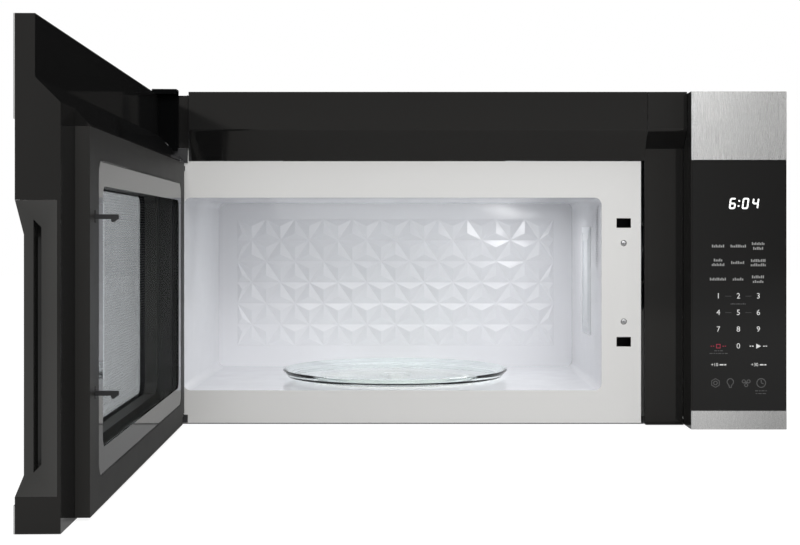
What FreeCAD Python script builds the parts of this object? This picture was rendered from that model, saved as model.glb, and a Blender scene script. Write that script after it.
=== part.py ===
import FreeCAD, Part
import math
import os
import Sketcher
from FreeCAD import Placement, Rotation, Vector

# Over the range microwave oven, door standing open.
# Origin: centre of the rear (wall) face. +X to the right, +Y into the wall, +Z up. Millimetres.

DRIVING = {
    # cabinet
    "cab_wide": 759.0,          # fits a 30 inch cabinet opening
    "cab_tall": 410.0,
    "cab_deep": 400.0,          # wall to the closed door's skin
    "sheet": 1.0,               # case steel
    "door_thick": 49.5,
    "door_gap": 0.5,            # closed door to the front frame
    "seam": 0.6,                # hairline between trims
    # cooking cavity
    "cav_roof": 127.5,          # cabinet top to cavity ceiling
    "cav_deep": 318.0,
    "cav_left": 19.3,           # case side to cavity opening
    "cav_floor": 41.7,          # case bottom to cavity floor
    "cav_sheet": 0.8,
    "cav_round": 9.0,           # bend radius of the cavity shell
    "frame_side": 49.2,         # cavity opening to the front frame's right edge
    "frame_top": 82.0,          # cabinet top to the front frame
    "relief_side": 27.0,        # plain border beside the pressed field in the back wall
    "relief_roof": 23.0,        # plain border above the field
    "relief_deep": 2.0,
    "relief_low": 30.6,         # cavity floor to the pressed field
    # turntable
    "tray_wide": 305.0,
    "tray_thick": 4.0,
    "tray_from_wall": 191.0,
    "tray_aside": 1.6,          # turning axis beside the cavity's middle
    "wheel_wide": 15.0,
    "ring_wide": 196.0,
    "running": 0.05,            # shaft clearance
    # top trim, column and controls
    "trim_set": 24.0,           # trim face behind the door skin
    "trim_face": 45.2,
    "trim_left": 29.5,          # case side to the trim's left end
    "column_wide": 48.9,        # column between the trim's seam and the controls
    "column_step": 3.8,         # seam to the front frame's right edge
    "column_knee": 66.5,        # cabinet top to the column's knee
    "trim_wall": 2.4,
    "trim_over": 2.0,           # trim's top above the cabinet top
    "panel_wide": 115.8,
    "panel_wall": 2.5,
    "top_band": 83.0,           # stainless band above the glass
    "low_band": 22.5,
    "band_sheet": 1.2,
    "glass": 3.2,
    "glass_set": 1.3,           # glass face behind the stainless bands
    # door
    "pivot_in": 14.0,           # case side to the hinge axis
    "pivot_back": 42.4,         # door skin to the hinge axis
    "open_angle": 88.3,
    "door_clear": 1.5,          # door to the control panel
    "door_top_thick": 17.0,
    "door_top_flat": 50.0,
    "door_slope": 20.0,
    "door_edge_thick": 37.0,
    "door_wall": 2.5,
    "ridge_left": 26.0,         # hinge axis to the ridge above the inner frame
    "side_strip": 11.0,         # thin part of the door outside the hinge axis
    "side_strip_thick": 24.4,
    "choke_top": 84.7,          # door top to the choke frame
    "choke_low": 2.0,
    "window_left": 27.7,        # hinge axis to the inner window
    "window_side": 88.0,        # inner window to the door's free edge
    "window_top": 110.0,        # door top to the inner window
    "window_low": 28.0,         # door bottom to the inner window
    "funnel_side": 36.0,        # inner window edge to the screen
    "funnel_rise": 21.0,
    "screen_back": 10.0,        # door skin to the screen
    "pane": 2.0,
    # handle
    "grip_deep": 8.3,           # skin to the lip's front
    "grip_wide": 40.0,
    "lip_thick": 7.5,
    "lip_wide": 15.0,
    "slot_wide": 6.2,
    "grip_low": 48.4,           # door bottom to the slot
    "grip_tall": 199.3,
    "grip_ramp": 19.0,
    # latch
    "latch_top": 159.2,         # cabinet top to the upper hook
    "latch_low": 102.5,         # cabinet bottom to the lower hook
    "latch_in": 21.5,           # front frame's right edge to the hooks
    "hook_tall": 4.0,
    "hook_thick": 3.0,
    "hook_reach": 20.0,
    "hook_drop": 2.5,
    "hook_travel": 3.0,
    "slot_long": 18.0,
    "slot_high": 12.0,
    # hinge
    "pin": 6.0,
    "knuckle": 7.1,
    "leaf": 2.5,
    "leaf_wide": 10.4,
    "leaf_gap": 0.7,
    "cover_sheet": 1.2,
    "cap_wide": 17.0,           # hinge cap on top of the door
    "cap_over": 6.0,
    "cap_tall": 6.0,
    # air system
    "port_wide": 254.0,         # exhaust opening, 3 1/4 by 10 inch duct
    "port_deep": 83.0,
    "port_from_wall": 38.0,
    "wheel_turn": 88.0,         # blower wheel diameter
    "wheel_long": 62.0,
    "wheel_gap": 74.0,
    "blower_top": 68.0,         # cabinet top to the blower axis
    "blower_from_wall": 76.0,
    "filter_wide": 210.0,
    "filter_deep": 118.0,
    "filter_thick": 8.0,
    "filter_from_wall": 70.0,
    # fixing
    "bolt_apart": 609.6,        # cabinet bolts, 24 inches
    "bolt_from_wall": 190.0,
    "bolt_hole": 7.0,
    "hook_apart": 406.4,        # wall plate slots, 16 inches
    "cord_hole": 38.0,
}

doc = FreeCAD.newDocument("over_range_microwave")
sheet = doc.addObject("Spreadsheet::Sheet", "dims")
for row, (alias, number) in enumerate(DRIVING.items(), start=1):
    sheet.set(f"A{row}", alias)
    sheet.set(f"B{row}", str(number))
    sheet.setAlias(f"B{row}", alias)
doc.recompute()


class Size(float):
    """A length that also carries the sheet expression it comes from."""

    def __new__(cls, number, text):
        made = super().__new__(cls, number)
        made.text = text
        return made

    def __add__(self, other):
        return Size(float(self) + float(other), f"({self.text} + {written(other)})")

    def __radd__(self, other):
        return Size(float(other) + float(self), f"({written(other)} + {self.text})")

    def __sub__(self, other):
        return Size(float(self) - float(other), f"({self.text} - {written(other)})")

    def __rsub__(self, other):
        return Size(float(other) - float(self), f"({written(other)} - {self.text})")

    def __mul__(self, other):
        return Size(float(self) * float(other), f"({self.text} * {written(other)})")

    __rmul__ = __mul__

    def __truediv__(self, other):
        return Size(float(self) / float(other), f"({self.text} / {written(other)})")

    def __neg__(self):
        return Size(-float(self), f"(0 - {self.text})")


def written(number):
    """The text of a size or plain number inside an expression."""
    return number.text if isinstance(number, Size) else repr(float(number))


class Named:
    """The sheet's cells as attributes."""

    def __init__(self):
        for alias in DRIVING:
            setattr(self, alias, Size(float(sheet.get(alias)), f"dims.{alias}"))


d = Named()

# Planes and lines that many pieces share.
right = d.cab_wide / 2
left = -right
top = d.cab_tall / 2
low = -top
skin = -d.cab_deep
front = skin + d.door_thick + d.door_gap          # front face of the white frame
cav_x0 = left + d.cav_left
cav_z0 = low + d.cav_floor
cav_z1 = top - d.cav_roof
cav_y1 = front + d.cav_deep                        # back wall of the cavity
frame_z1 = top - d.frame_top
panel_x0 = right - d.panel_wide
seam_x = panel_x0 - d.column_wide
frame_x1 = seam_x - d.column_step
cav_x1 = frame_x1 - d.frame_side
trim_y = skin + d.trim_set
trim_z = top - d.trim_face                         # crease of the top trim
trim_x0 = left + d.trim_left
tray_x = (cav_x0 + cav_x1) / 2 + d.tray_aside
tray_y = -d.tray_from_wall
pivot_x = left + d.pivot_in
pivot_y = skin + d.pivot_back
door_x1 = panel_x0 - d.door_clear
door_back = skin + d.door_thick
edge_back = skin + d.door_edge_thick
latch_x = frame_x1 - d.latch_in
latch_z = (top - d.latch_top, low + d.latch_low)
inside = d.sheet + 0.1                             # case steel and a hair of room

TOWARDS = {"x": Rotation(Vector(0, 1, 0), 90), "y": Rotation(Vector(1, 0, 0), -90), "z": Rotation()}
finished = []


def bind(thing, path, number):
    """Ties a property to the sheet, or sets it where it is a plain number."""
    thing.setExpression(path, written(number))


def box(lo, hi, name="block"):
    """A block between two corners."""
    made = doc.addObject("Part::Box", name)
    for side, small, big in zip(("Length", "Width", "Height"), lo, hi):
        bind(made, side, big - small)
    for axis, small in zip("xyz", lo):
        bind(made, f"Placement.Base.{axis}", small)
    return made


def rod(start, along, radius, length, name="rod"):
    """A round bar from a point along an axis."""
    made = doc.addObject("Part::Cylinder", name)
    made.Placement = Placement(Vector(), TOWARDS[along])
    bind(made, "Radius", radius)
    bind(made, "Height", length)
    for axis, place in zip("xyz", start):
        bind(made, f"Placement.Base.{axis}", place)
    return made


def cone(start, along, radius_a, radius_b, length, name="taper"):
    """A taper from a point along an axis."""
    made = doc.addObject("Part::Cone", name)
    made.Placement = Placement(Vector(), TOWARDS[along])
    bind(made, "Radius1", radius_a)
    bind(made, "Radius2", radius_b)
    bind(made, "Height", length)
    for axis, place in zip("xyz", start):
        bind(made, f"Placement.Base.{axis}", place)
    return made


def fuse(pieces, name="joined"):
    """One solid from pieces that meet."""
    made = doc.addObject("Part::MultiFuse", name)
    made.Shapes = pieces
    made.Refine = True
    return made


def cut(base, tools, name="trimmed"):
    """A piece with others taken out of it."""
    made = doc.addObject("Part::Cut", name)
    made.Base = base
    made.Tool = tools[0] if len(tools) == 1 else group(tools)
    made.Refine = True
    return made


def group(pieces, name="group"):
    """Separate solids kept together."""
    made = doc.addObject("Part::Compound", name)
    made.Links = pieces
    return made


def rounded(base, radius, chosen, name="rounded"):
    """Fillets the edges that a test picks."""
    doc.recompute()
    made = doc.addObject("Part::Fillet", name)
    made.Base = base
    picked = [n for n, edge in enumerate(base.Shape.Edges, start=1) if chosen(edge)]
    made.Edges = [(n, float(radius), float(radius)) for n in picked]
    return made


def runs(edge, axis):
    """Whether a straight edge runs along an axis."""
    if edge.Curve.TypeId != "Part::GeomLine":
        return False
    return abs(abs(edge.Curve.Direction.dot(axis)) - 1.0) < 1e-6


def plane_of(body, role):
    """One of a body's own origin planes."""
    return [item for item in body.Origin.OriginFeatures if item.Role == role][0]


def outline(body, role, points, start):
    """A closed sketch whose corners are tied to the sheet."""
    drawn = body.newObject("Sketcher::SketchObject", "outline")
    drawn.AttachmentSupport = (plane_of(body, role), [""])
    drawn.MapMode = "FlatFace"
    bind(drawn, "AttachmentOffset.Base.z", start)
    count = len(points)
    for side, point in enumerate(points):
        following = points[(side + 1) % count]
        a = Vector(float(point[0]), float(point[1]), 0)
        b = Vector(float(following[0]), float(following[1]), 0)
        drawn.addGeometry(Part.LineSegment(a, b), False)
    for side, point in enumerate(points):
        for kind, number in (("DistanceX", point[0]), ("DistanceY", point[1])):
            rule = drawn.addConstraint(Sketcher.Constraint(kind, -1, 1, side, 1, float(number)))
            drawn.setExpression(f"Constraints[{rule}]", written(number))
        drawn.addConstraint(Sketcher.Constraint("Coincident", (side - 1) % count, 2, side, 1))
    return drawn


def prism(role, points, lo, hi, name="profile"):
    """A body whose outline runs from one station to another along the plane's normal."""
    body = doc.addObject("PartDesign::Body", name)
    start = -hi if role == "XZ_Plane" else lo
    drawn = outline(body, role, points, start)
    pad = body.newObject("PartDesign::Pad", "pad")
    pad.Profile = drawn
    bind(pad, "Length", hi - lo)
    drawn.Visibility = False
    return body


def turned(points, centre, name="turned"):
    """A body turned about an upright axis from (radius, height) points."""
    body = doc.addObject("PartDesign::Body", name)
    drawn = outline(body, "XZ_Plane", points, 0.0)
    spin = body.newObject("PartDesign::Revolution", "spin")
    spin.Profile = drawn
    spin.ReferenceAxis = (drawn, ["V_Axis"])
    spin.Angle = 360.0
    for axis, place in zip("xyz", centre):
        bind(body, f"Placement.Base.{axis}", place)
    return body


def feature(shape, name):
    """A piece whose form no primitive or sketch gives."""
    made = doc.addObject("Part::Feature", name)
    made.Shape = shape
    return made


def keep(piece, label, on_door=False):
    """Names a finished sub-part, and swings it with the door where it is on the door."""
    if on_door:
        piece = group([piece])
        swing = Placement(Vector(), Rotation(Vector(0, 0, 1), -float(d.open_angle)),
                          Vector(float(pivot_x), float(pivot_y), 0))
        piece.Placement = swing
    piece.Label = label
    finished.append(piece)
    return piece


def beads(places, lo_z, hi_z):
    """Upright stiffening beads pressed into the rear sheet."""
    return [box((x - 6, -d.sheet - 2.5, lo_z), (x + 6, -d.sheet, hi_z), "bead") for x in places]


def outer_case():
    """Top and both sides of the cabinet, folded from one sheet."""
    t = d.sheet
    folded = prism("XZ_Plane", [
        (left, low), (left, top), (right, top), (right, low),
        (right - t, low), (right - t, top - t), (left + t, top - t), (left + t, low)],
        front + t, 0.0, "wrap")
    port = box((-d.port_wide / 2, -d.port_from_wall - d.port_deep, top - 2 * t),
               (d.port_wide / 2, -d.port_from_wall, top + t))
    bolts = [rod((side * d.bolt_apart / 2, -d.bolt_from_wall, top - 2 * t), "z", d.bolt_hole / 2, 3 * t)
             for side in (-1, 1)]
    cord = rod((right - 62, -48.0, top - 2 * t), "z", d.cord_hole / 2, 3 * t)
    return keep(cut(folded, [port, cord] + bolts), "outer_case")


def back_plate():
    """Rear sheet with beads and the two slots that hang on the wall plate."""
    t = inside
    plate = box((left + t, -d.sheet, low + t), (right - t, 0.0, top - t), "rear")
    body = fuse([plate] + beads([left + 110, left + 250, right - 250, right - 110], low + 70, -40.0))
    slots = [box((side * d.hook_apart / 2 - 16, -2 * d.sheet, low + 14),
                 (side * d.hook_apart / 2 + 16, d.sheet, low + 20)) for side in (-1, 1)]
    return keep(cut(body, slots), "back_plate")


def filter_box(side, room):
    """Corners of one grease filter, with room added all round."""
    middle = tray_x + side * 150
    back = -d.filter_from_wall
    return ((middle - d.filter_wide / 2 - room, back - d.filter_deep - room, low),
            (middle + d.filter_wide / 2 + room, back + room, low + d.filter_thick))


def lens_box(side, room):
    """Corners of one cooktop lamp lens."""
    middle = tray_x + side * 150
    return ((middle - 55 - room, front + 30 - room, low), (middle + 55 + room, front + 80 + room, low + 2.5))


def base_plate():
    """Bottom sheet with the filter, lamp and air openings."""
    t = inside
    plate = box((left + t, front + t, low), (right - t, -t, low + d.sheet), "floor_sheet")
    holes = []
    for side in (-1, 1):
        for lo, hi in (filter_box(side, 0.4), lens_box(side, 0.4)):
            holes.append(box((lo[0], lo[1], low - 1), (hi[0], hi[1], low + 5)))
    for step in range(9):
        x = panel_x0 + 8 + step * 11
        holes.append(box((x, front + 40, low - 1), (x + 5, front + 90, low + 5)))
    rim = box((left + t, front + t, low + d.sheet), (right - t, front + t + d.sheet, low + 14))
    notch = box((left, front, low + d.sheet), (right - d.panel_wide + 1, front + 10, low + 15))
    return keep(cut(fuse([plate, rim]), holes + [notch]), "base_plate")


def rounded_block(lo, hi, radius, axis):
    """A block whose edges along one axis are rounded."""
    return rounded(box(lo, hi), radius, lambda edge: runs(edge, axis))


def front_frame():
    """White enamelled frame round the cavity, with an ear that carries the upper hinge."""
    t = inside
    x0 = left + t
    ear = pivot_x + 12.5
    plate = prism("XZ_Plane", [
        (x0, low + t), (frame_x1, low + t), (frame_x1, frame_z1), (ear, frame_z1),
        (ear, top - t), (x0, top - t)], front, front + d.sheet, "white_sheet")
    edge = box((frame_x1 - d.sheet, front, low + t), (frame_x1, front + 12, frame_z1))
    hole = rounded_block((cav_x0, front - 5, cav_z0), (cav_x1, front + 5, cav_z1), d.cav_round, Vector(0, 1, 0))
    slots = [box((latch_x - d.slot_long / 2, front - 2, z - d.slot_high / 2),
                 (latch_x + d.slot_long / 2, front + 3, z + d.slot_high / 2)) for z in latch_z]
    screws = [rod((latch_x, front - 2, z), "y", screw_head + 0.1, 6.0) for z in screw_z()]
    return keep(cut(fuse([plate, edge]), [hole] + slots + screws), "front_frame")


screw_shank = 1.9
screw_head = 3.7


def screw_z():
    """Heights of the two screws between the latch slots."""
    apart = latch_z[0] - latch_z[1]
    return (latch_z[0] - apart * 0.17, latch_z[1] + apart * 0.17)


well_deep = 12.0
well_wide = 266.0
well_z = cav_z0 - well_deep


def cavity_liner():
    """Cooking cavity: four walls bent from one sheet and a pressed well under the turntable."""
    t = d.cav_sheet
    axis = Vector(0, 1, 0)
    outer = rounded_block((cav_x0 - t, front + d.sheet, cav_z0 - t), (cav_x1 + t, cav_y1, cav_z1 + t),
                          d.cav_round + t, axis)
    cup = cone((tray_x, tray_y, well_z - t), "z", well_wide / 2 - 6 + t, well_wide / 2 + t, well_deep)
    inner = rounded_block((cav_x0, front, cav_z0), (cav_x1, cav_y1 + 5, cav_z1), d.cav_round, axis)
    hollow = cone((tray_x, tray_y, well_z), "z", well_wide / 2 - 6, well_wide / 2, well_deep + 2)
    shaft = rod((tray_x, tray_y, well_z - 5), "z", 8.0, 10.0)
    feed = box((cav_x1 - 1, guide_y0 + 8, guide_z1 - 50), (cav_x1 + 4, guide_y1 - 8, guide_z1 - 12))
    return keep(cut(fuse([outer, cup]), [inner, hollow, shaft, feed]), "cavity_liner")


guide_y0 = front + 104.4
guide_y1 = guide_y0 + 82.1
guide_z0 = cav_z0 + 61.6
guide_z1 = cav_z1 - 35.7


relief_columns = 11
relief_rows = 6


def relief_field():
    """Left, bottom, width and height of the pressed field."""
    x0 = float(cav_x0 + d.relief_side)
    z0 = float(cav_z0 + d.relief_low)
    return x0, z0, float(cav_x1 - d.relief_side) - x0, float(cav_z1 - d.relief_roof) - z0


def relief_triangles():
    """Corners of the pressed lattice: rows of triangles, with halves at the ends."""
    x0, z0, wide, tall = relief_field()
    pitch = wide / relief_columns
    step = tall / relief_rows
    for row in range(relief_rows):
        near = [x0 + pitch * n for n in range(relief_columns + 1)]
        far = [x0] + [x0 + pitch * (n + 0.5) for n in range(relief_columns)] + [x0 + wide]
        flat, staggered = (z0 + step * row, z0 + step * (row + 1))
        if row % 2:
            flat, staggered = staggered, flat
        for n in range(relief_columns + 1):
            yield ((far[n], staggered), (far[n + 1], staggered), (near[n], flat))
        for n in range(relief_columns):
            yield ((near[n], flat), (near[n + 1], flat), (far[n + 1], staggered))


def cavity_back():
    """Back wall of the cavity, pressed with a lattice of shallow three-sided points."""
    t = float(d.cav_sheet)
    y_face = float(cav_y1)
    deep = float(d.relief_deep)
    x_lo, x_hi = float(cav_x0) - t, float(cav_x1) + t
    z_lo, z_hi = float(cav_z0) - t, float(cav_z1) + t
    x0, z0, wide, tall = relief_field()
    faces = []
    for corners in relief_triangles():
        points = [Vector(x, y_face + deep * 0.4, z) for x, z in corners]
        peak = (points[0] + points[1] + points[2]) * (1.0 / 3.0) - Vector(0, deep, 0)
        for n in range(3):
            faces.append(Part.Face(Part.makePolygon([points[n], points[(n + 1) % 3], peak, points[n]])))
    rear = y_face + deep * 0.4 + t
    field = [(x0, z0), (x0 + wide, z0), (x0 + wide, z0 + tall), (x0, z0 + tall)]
    rim = relief_rim(x0, z0, wide, tall)
    for a, b in zip(rim, rim[1:] + rim[:1]):
        lip = [Vector(a[0], y_face + deep * 0.4, a[1]), Vector(b[0], y_face + deep * 0.4, b[1]),
               Vector(b[0], rear, b[1]), Vector(a[0], rear, a[1])]
        faces.append(Part.Face(Part.makePolygon(lip + lip[:1])))
    faces.append(Part.Face(Part.makePolygon([Vector(x, rear, z) for x, z in rim + rim[:1]])))
    pressed = Part.Solid(Part.makeShell(faces))
    if pressed.Volume < 0:
        pressed.reverse()
    plate = Part.makeBox(x_hi - x_lo, deep * 0.4 + t, z_hi - z_lo, Vector(x_lo, y_face, z_lo))
    window = Part.makeBox(wide, deep + 2, tall, Vector(x0, y_face - 1, z0))
    return keep(feature(plate.cut(window).fuse(pressed).removeSplitter(), "pressed_wall"), "cavity_back")


def relief_rim(x0, z0, wide, tall):
    """The lattice's outer corners, in order round the field."""
    pitch = wide / relief_columns
    step = tall / relief_rows
    first = [(x0 + pitch * n, z0) for n in range(relief_columns + 1)]
    side = [(x0 + wide, z0 + step * row) for row in range(1, relief_rows)]
    last = [(x0 + wide - pitch * n, z0 + tall) for n in range(relief_columns + 1)]
    back = [(x0, z0 + tall - step * row) for row in range(1, relief_rows)]
    return first + side + last + back


def waveguide_cover():
    """Plate over the microwave feed on the right wall, with two pressed frames."""
    x = cav_x1
    plate = box((x - 1.2, guide_y0, guide_z0), (x, guide_y1, guide_z1), "plate")
    raised = [cut(box((x - 2.0, guide_y0 + a, guide_z0 + a), (x - 1.2, guide_y1 - a, guide_z1 - a)),
                  [box((x - 3, guide_y0 + a + 3, guide_z0 + a + 3), (x, guide_y1 - a - 3, guide_z1 - a - 3))])
              for a in (5, 16)]
    return keep(fuse([plate] + raised), "waveguide_cover")


def waveguide():
    """Steel channel that leads from the magnetron to the cavity."""
    x0 = cav_x1 + d.cav_sheet
    channel = box((x0, guide_y0, guide_z0 + 35), (x0 + 40, guide_y1, guide_z1 + 12), "channel")
    hollow = box((x0 - 1, guide_y0 + 1, guide_z0 + 36), (x0 + 39, guide_y1 - 1, guide_z1 + 11))
    neck = rod((x0 + 35, (guide_y0 + guide_y1) / 2, guide_z1 - 35), "x", 14.0, 10.0)
    return keep(cut(channel, [hollow, neck]), "waveguide")


def magnetron():
    """Magnetron: steel yoke, cooling fins, filter box and antenna."""
    x0 = cav_x1 + d.cav_sheet + 40
    y = (guide_y0 + guide_y1) / 2
    z = guide_z1 - 35
    yoke = cut(box((x0, y - 47, z - 40), (x0 + 78, y + 47, z + 40)),
               [box((x0 + 3, y - 50, z - 37), (x0 + 75, y + 50, z + 37))])
    fins = [box((x0 + 16 + 7 * n, y - 38, z - 37), (x0 + 17 + 7 * n, y + 38, z + 37)) for n in range(7)]
    core = rod((x0, y, z), "x", 19.0, 78.0)
    magnets = [rod((x0 + a, y, z), "x", 27.0, 10.0) for a in (3, 65)]
    aerial = rod((x0 - 26, y, z), "x", 7.5, 30.0)
    filter_box_shape = box((x0 + 78, y - 30, z - 27), (x0 + 108, y + 30, z + 27))
    socket = box((x0 + 90, y + 30, z - 11), (x0 + 104, y + 41, z + 11))
    return keep(fuse([yoke, core, aerial, filter_box_shape, socket] + fins + magnets), "magnetron")


def power_transformer():
    """High-voltage transformer: laminated core, two windings and a foot plate."""
    x, y, z = (panel_x0 + 32, -136.0, low + d.sheet)
    foot = box((x - 52, y - 42, z), (x + 52, y + 42, z + 2))
    core = box((x - 50, y - 28, z + 2), (x + 50, y + 28, z + 84))
    coils = []
    for n, (lo, tall) in enumerate(((14, 20), (42, 26))):
        coils.append(rounded_block((x - 34, y - 46 + 2 * n, z + lo), (x + 34, y + 46 - 2 * n, z + lo + tall),
                                   12.0, Vector(0, 0, 1)))
    slits = [box((x - 51, y - 30, z + a), (x - 49, y + 30, z + a + 1.5)) for a in (8, 76)]
    return keep(cut(fuse([foot, core] + coils), slits), "power_transformer")


def capacitor():
    """Oil-filled oval capacitor lying on the base, with its two terminals and strap."""
    x, y, z = (panel_x0 - 38, -44.0, low + d.sheet)
    can = fuse([box((x, y - 14, z + 1), (x + 92, y + 14, z + 35)),
                rod((x, y - 14, z + 18), "x", 17.0, 92.0), rod((x, y + 14, z + 18), "x", 17.0, 92.0)])
    strap = fuse([box((x + 40, y - 33, z), (x + 54, y + 33, z + 1)),
                  box((x + 40, y - 33, z), (x + 54, y - 31, z + 36)),
                  box((x + 40, y + 31, z), (x + 54, y + 33, z + 36)),
                  box((x + 40, y - 33, z + 35), (x + 54, y + 33, z + 36))])
    pins = [box((x + 91, y + a - 0.4, z + 12), (x + 104, y + a + 0.4, z + 22)) for a in (-9, 9)]
    return keep(fuse([can, strap] + pins), "capacitor")


def diode():
    """High-voltage diode, from a capacitor terminal to its earthing tag on the base."""
    x, y, z = (panel_x0 + 66, -35.0, low + d.sheet)
    barrel = rod((x + 6, y, z + 17), "x", 3.4, 17.0)
    lead = box((x - 3, y + 0.4, z + 16), (x + 7, y + 1.2, z + 18))
    tag = fuse([box((x + 22, y - 0.4, z + 15.5), (x + 34, y + 0.4, z + 18.5)),
                box((x + 31, y - 0.4, z), (x + 34, y + 0.4, z + 18)),
                box((x + 28, y - 4, z), (x + 37, y + 4, z + 1))])
    return keep(fuse([barrel, lead, tag]), "hv_diode")


fan_x = panel_x0 + 18
fan_y = front + 52
fan_z = low + 80
fan_hub = 13.0
fan_tip = 46.0


def cooling_fan_shroud():
    """Plate and collar that the cooling fan turns in, standing on the base."""
    z0 = low + d.sheet
    plate = box((fan_x - 60, fan_y + 14, z0), (fan_x + 60, fan_y + 16, fan_z + 60), "plate")
    foot = box((fan_x - 60, fan_y + 14, z0), (fan_x + 60, fan_y + 28, z0 + 1.5))
    collar = rod((fan_x, fan_y - 8, fan_z), "y", fan_tip + 5, 23.0)
    bore = rod((fan_x, fan_y - 10, fan_z), "y", fan_tip + 3, 40.0)
    arms = [box((fan_x - 60, fan_y + 16, fan_z + a), (fan_x + 60, fan_y + 18, fan_z + a + 8)) for a in (-20, 12)]
    seat = box((fan_x - 25, fan_y + 16, fan_z - 22), (fan_x + 25, fan_y + 18, fan_z + 22))
    shaft = rod((fan_x, fan_y, fan_z), "y", 5.0, 30.0)
    return keep(cut(fuse([cut(fuse([plate, foot, collar]), [bore])] + arms + [seat]), [shaft]),
                "cooling_fan_shroud")


def cooling_fan_motor():
    """Shaded-pole motor behind the shroud."""
    y0 = fan_y + 18
    stack = box((fan_x - 24, y0, fan_z - 20), (fan_x + 24, y0 + 14, fan_z + 38))
    coil = rounded_block((fan_x - 17, y0, fan_z + 22), (fan_x + 17, y0 + 24, fan_z + 36), 4.0, Vector(1, 0, 0))
    bells = rod((fan_x, y0 + 14, fan_z), "y", 15.0, 10.0)
    bore = rod((fan_x, y0 - 1, fan_z), "y", 2.5 + d.running, 12.0)
    return keep(cut(fuse([stack, coil, bells]), [bore]), "cooling_fan_motor")


def blade(angle, root, tip, chord, lean, thick):
    """One twisted fan blade about the Y axis, lofted from root to tip."""
    wires = []
    for radius, twist in ((root, lean), (tip, lean * 0.6)):
        half = chord / 2 * (0.8 if radius == root else 1.15)
        turn = math.radians(twist)
        along = Vector(math.cos(turn), math.sin(turn), 0)
        across = Vector(-math.sin(turn), math.cos(turn), 0) * (thick / 2)
        corners = [along * -half - across, along * half - across, along * half + across, along * -half + across]
        corners = [point + Vector(0, 0, radius) for point in corners]
        wires.append(Part.makePolygon(corners + corners[:1]))
    made = Part.makeLoft(wires, True, True)
    made.rotate(Vector(), Vector(0, 1, 0), angle)
    return made


def cooling_fan_blade():
    """Seven-bladed fan on the cooling motor's shaft."""
    hub = Part.makeCylinder(fan_hub, 16, Vector(0, -8, 0), Vector(0, 1, 0))
    shaft = Part.makeCylinder(2.5, 26, Vector(0, 0, 0), Vector(0, 1, 0))
    blades = [blade(n * 360.0 / 7, fan_hub - 1.5, fan_tip, 22.0, 32.0, 1.4) for n in range(7)]
    wheel = hub.multiFuse([shaft] + blades).removeSplitter()
    made = feature(wheel, "fan_wheel")
    for axis, place in zip("xyz", (fan_x, fan_y, fan_z)):
        bind(made, f"Placement.Base.{axis}", place)
    return keep(made, "cooling_fan_blade")


blow_y = -d.blower_from_wall
blow_z = top - d.blower_top
wheel_in = d.wheel_gap / 2
case_wall = 1.5


def blower_housing():
    """Two scroll housings that throw the air up into the exhaust opening."""
    r = d.wheel_turn / 2
    shells = []
    for side in (-1, 1):
        x0 = wheel_in - 5 if side > 0 else -wheel_in - d.wheel_long - 5
        x1 = x0 + d.wheel_long + 10
        roof = top - d.sheet - 0.1
        body = fuse([rod((x0, blow_y, blow_z), "x", r + 8, x1 - x0),
                     box((x0, blow_y - r - 8, blow_z), (x1, blow_y + r - 5, roof))])
        room = fuse([rod((x0 + case_wall, blow_y, blow_z), "x", r + 8 - case_wall, x1 - x0 - 2 * case_wall),
                     box((x0 + case_wall, blow_y - r - 8 + case_wall, blow_z),
                         (x1 - case_wall, blow_y + r - 5 - case_wall, roof + 5))])
        inlet = rod((x0 - 5, blow_y, blow_z), "x", r - 9, x1 - x0 + 10)
        shells.append(cut(body, [room, inlet]))
    tie = box((-wheel_in + 4.5, blow_y - r - 8, blow_z + 24), (wheel_in - 4.5, blow_y - r - 6, blow_z + 50))
    return keep(fuse(shells + [tie]), "blower_housing")


def blower_motor():
    """Blower motor between the scrolls, hung from the bridge between them."""
    r = d.wheel_turn / 2
    can = rod((-24.0, blow_y, blow_z), "x", 33.0, 48.0, "can")
    ends = [rod((-28.0, blow_y, blow_z), "x", 18.0, 56.0)]
    arm = box((-16.0, blow_y - r - 6, blow_z + 26), (16.0, blow_y - 8, blow_z + 32))
    bore = rod((-40.0, blow_y, blow_z), "x", 4.0 + d.running, 80.0)
    return keep(cut(fuse([can, arm] + ends), [bore]), "blower_motor")


def blower_wheels():
    """Both squirrel-cage wheels on the blower's one shaft."""
    r = float(d.wheel_turn) / 2
    long = float(d.wheel_long)
    gap = float(wheel_in)
    axis = Vector(1, 0, 0)
    shaft = Part.makeCylinder(4.0, 2 * (gap + long), Vector(-gap - long, 0, 0), axis)
    pieces = []
    for side in (-1, 1):
        x0 = gap if side > 0 else -gap - long
        plate_x = x0 if side > 0 else x0 + long - 1.5
        pieces.append(Part.makeCylinder(r, 1.5, Vector(plate_x, 0, 0), axis))
        pieces.append(Part.makeCylinder(9, 16, Vector(x0 if side > 0 else x0 + long - 16, 0, 0), axis))
        far = x0 + long - 2 if side > 0 else x0
        ring = Part.makeCylinder(r, 2, Vector(far, 0, 0), axis).cut(
            Part.makeCylinder(r - 8, 2, Vector(far, 0, 0), axis))
        pieces.append(ring)
        for n in range(20):
            vane = Part.makeBox(long - 1, 1.0, 8.0, Vector(x0 + 0.5, -0.5, -4.0))
            vane.rotate(Vector(x0, 0, 0), axis, 28)
            vane.translate(Vector(0, 0, r - 4.6))
            vane.rotate(Vector(x0, 0, 0), axis, n * 18.0)
            pieces.append(vane)
    made = feature(shaft.multiFuse(pieces), "cage_wheels")
    bind(made, "Placement.Base.y", blow_y)
    bind(made, "Placement.Base.z", blow_z)
    return keep(made, "blower_wheels")


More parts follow.
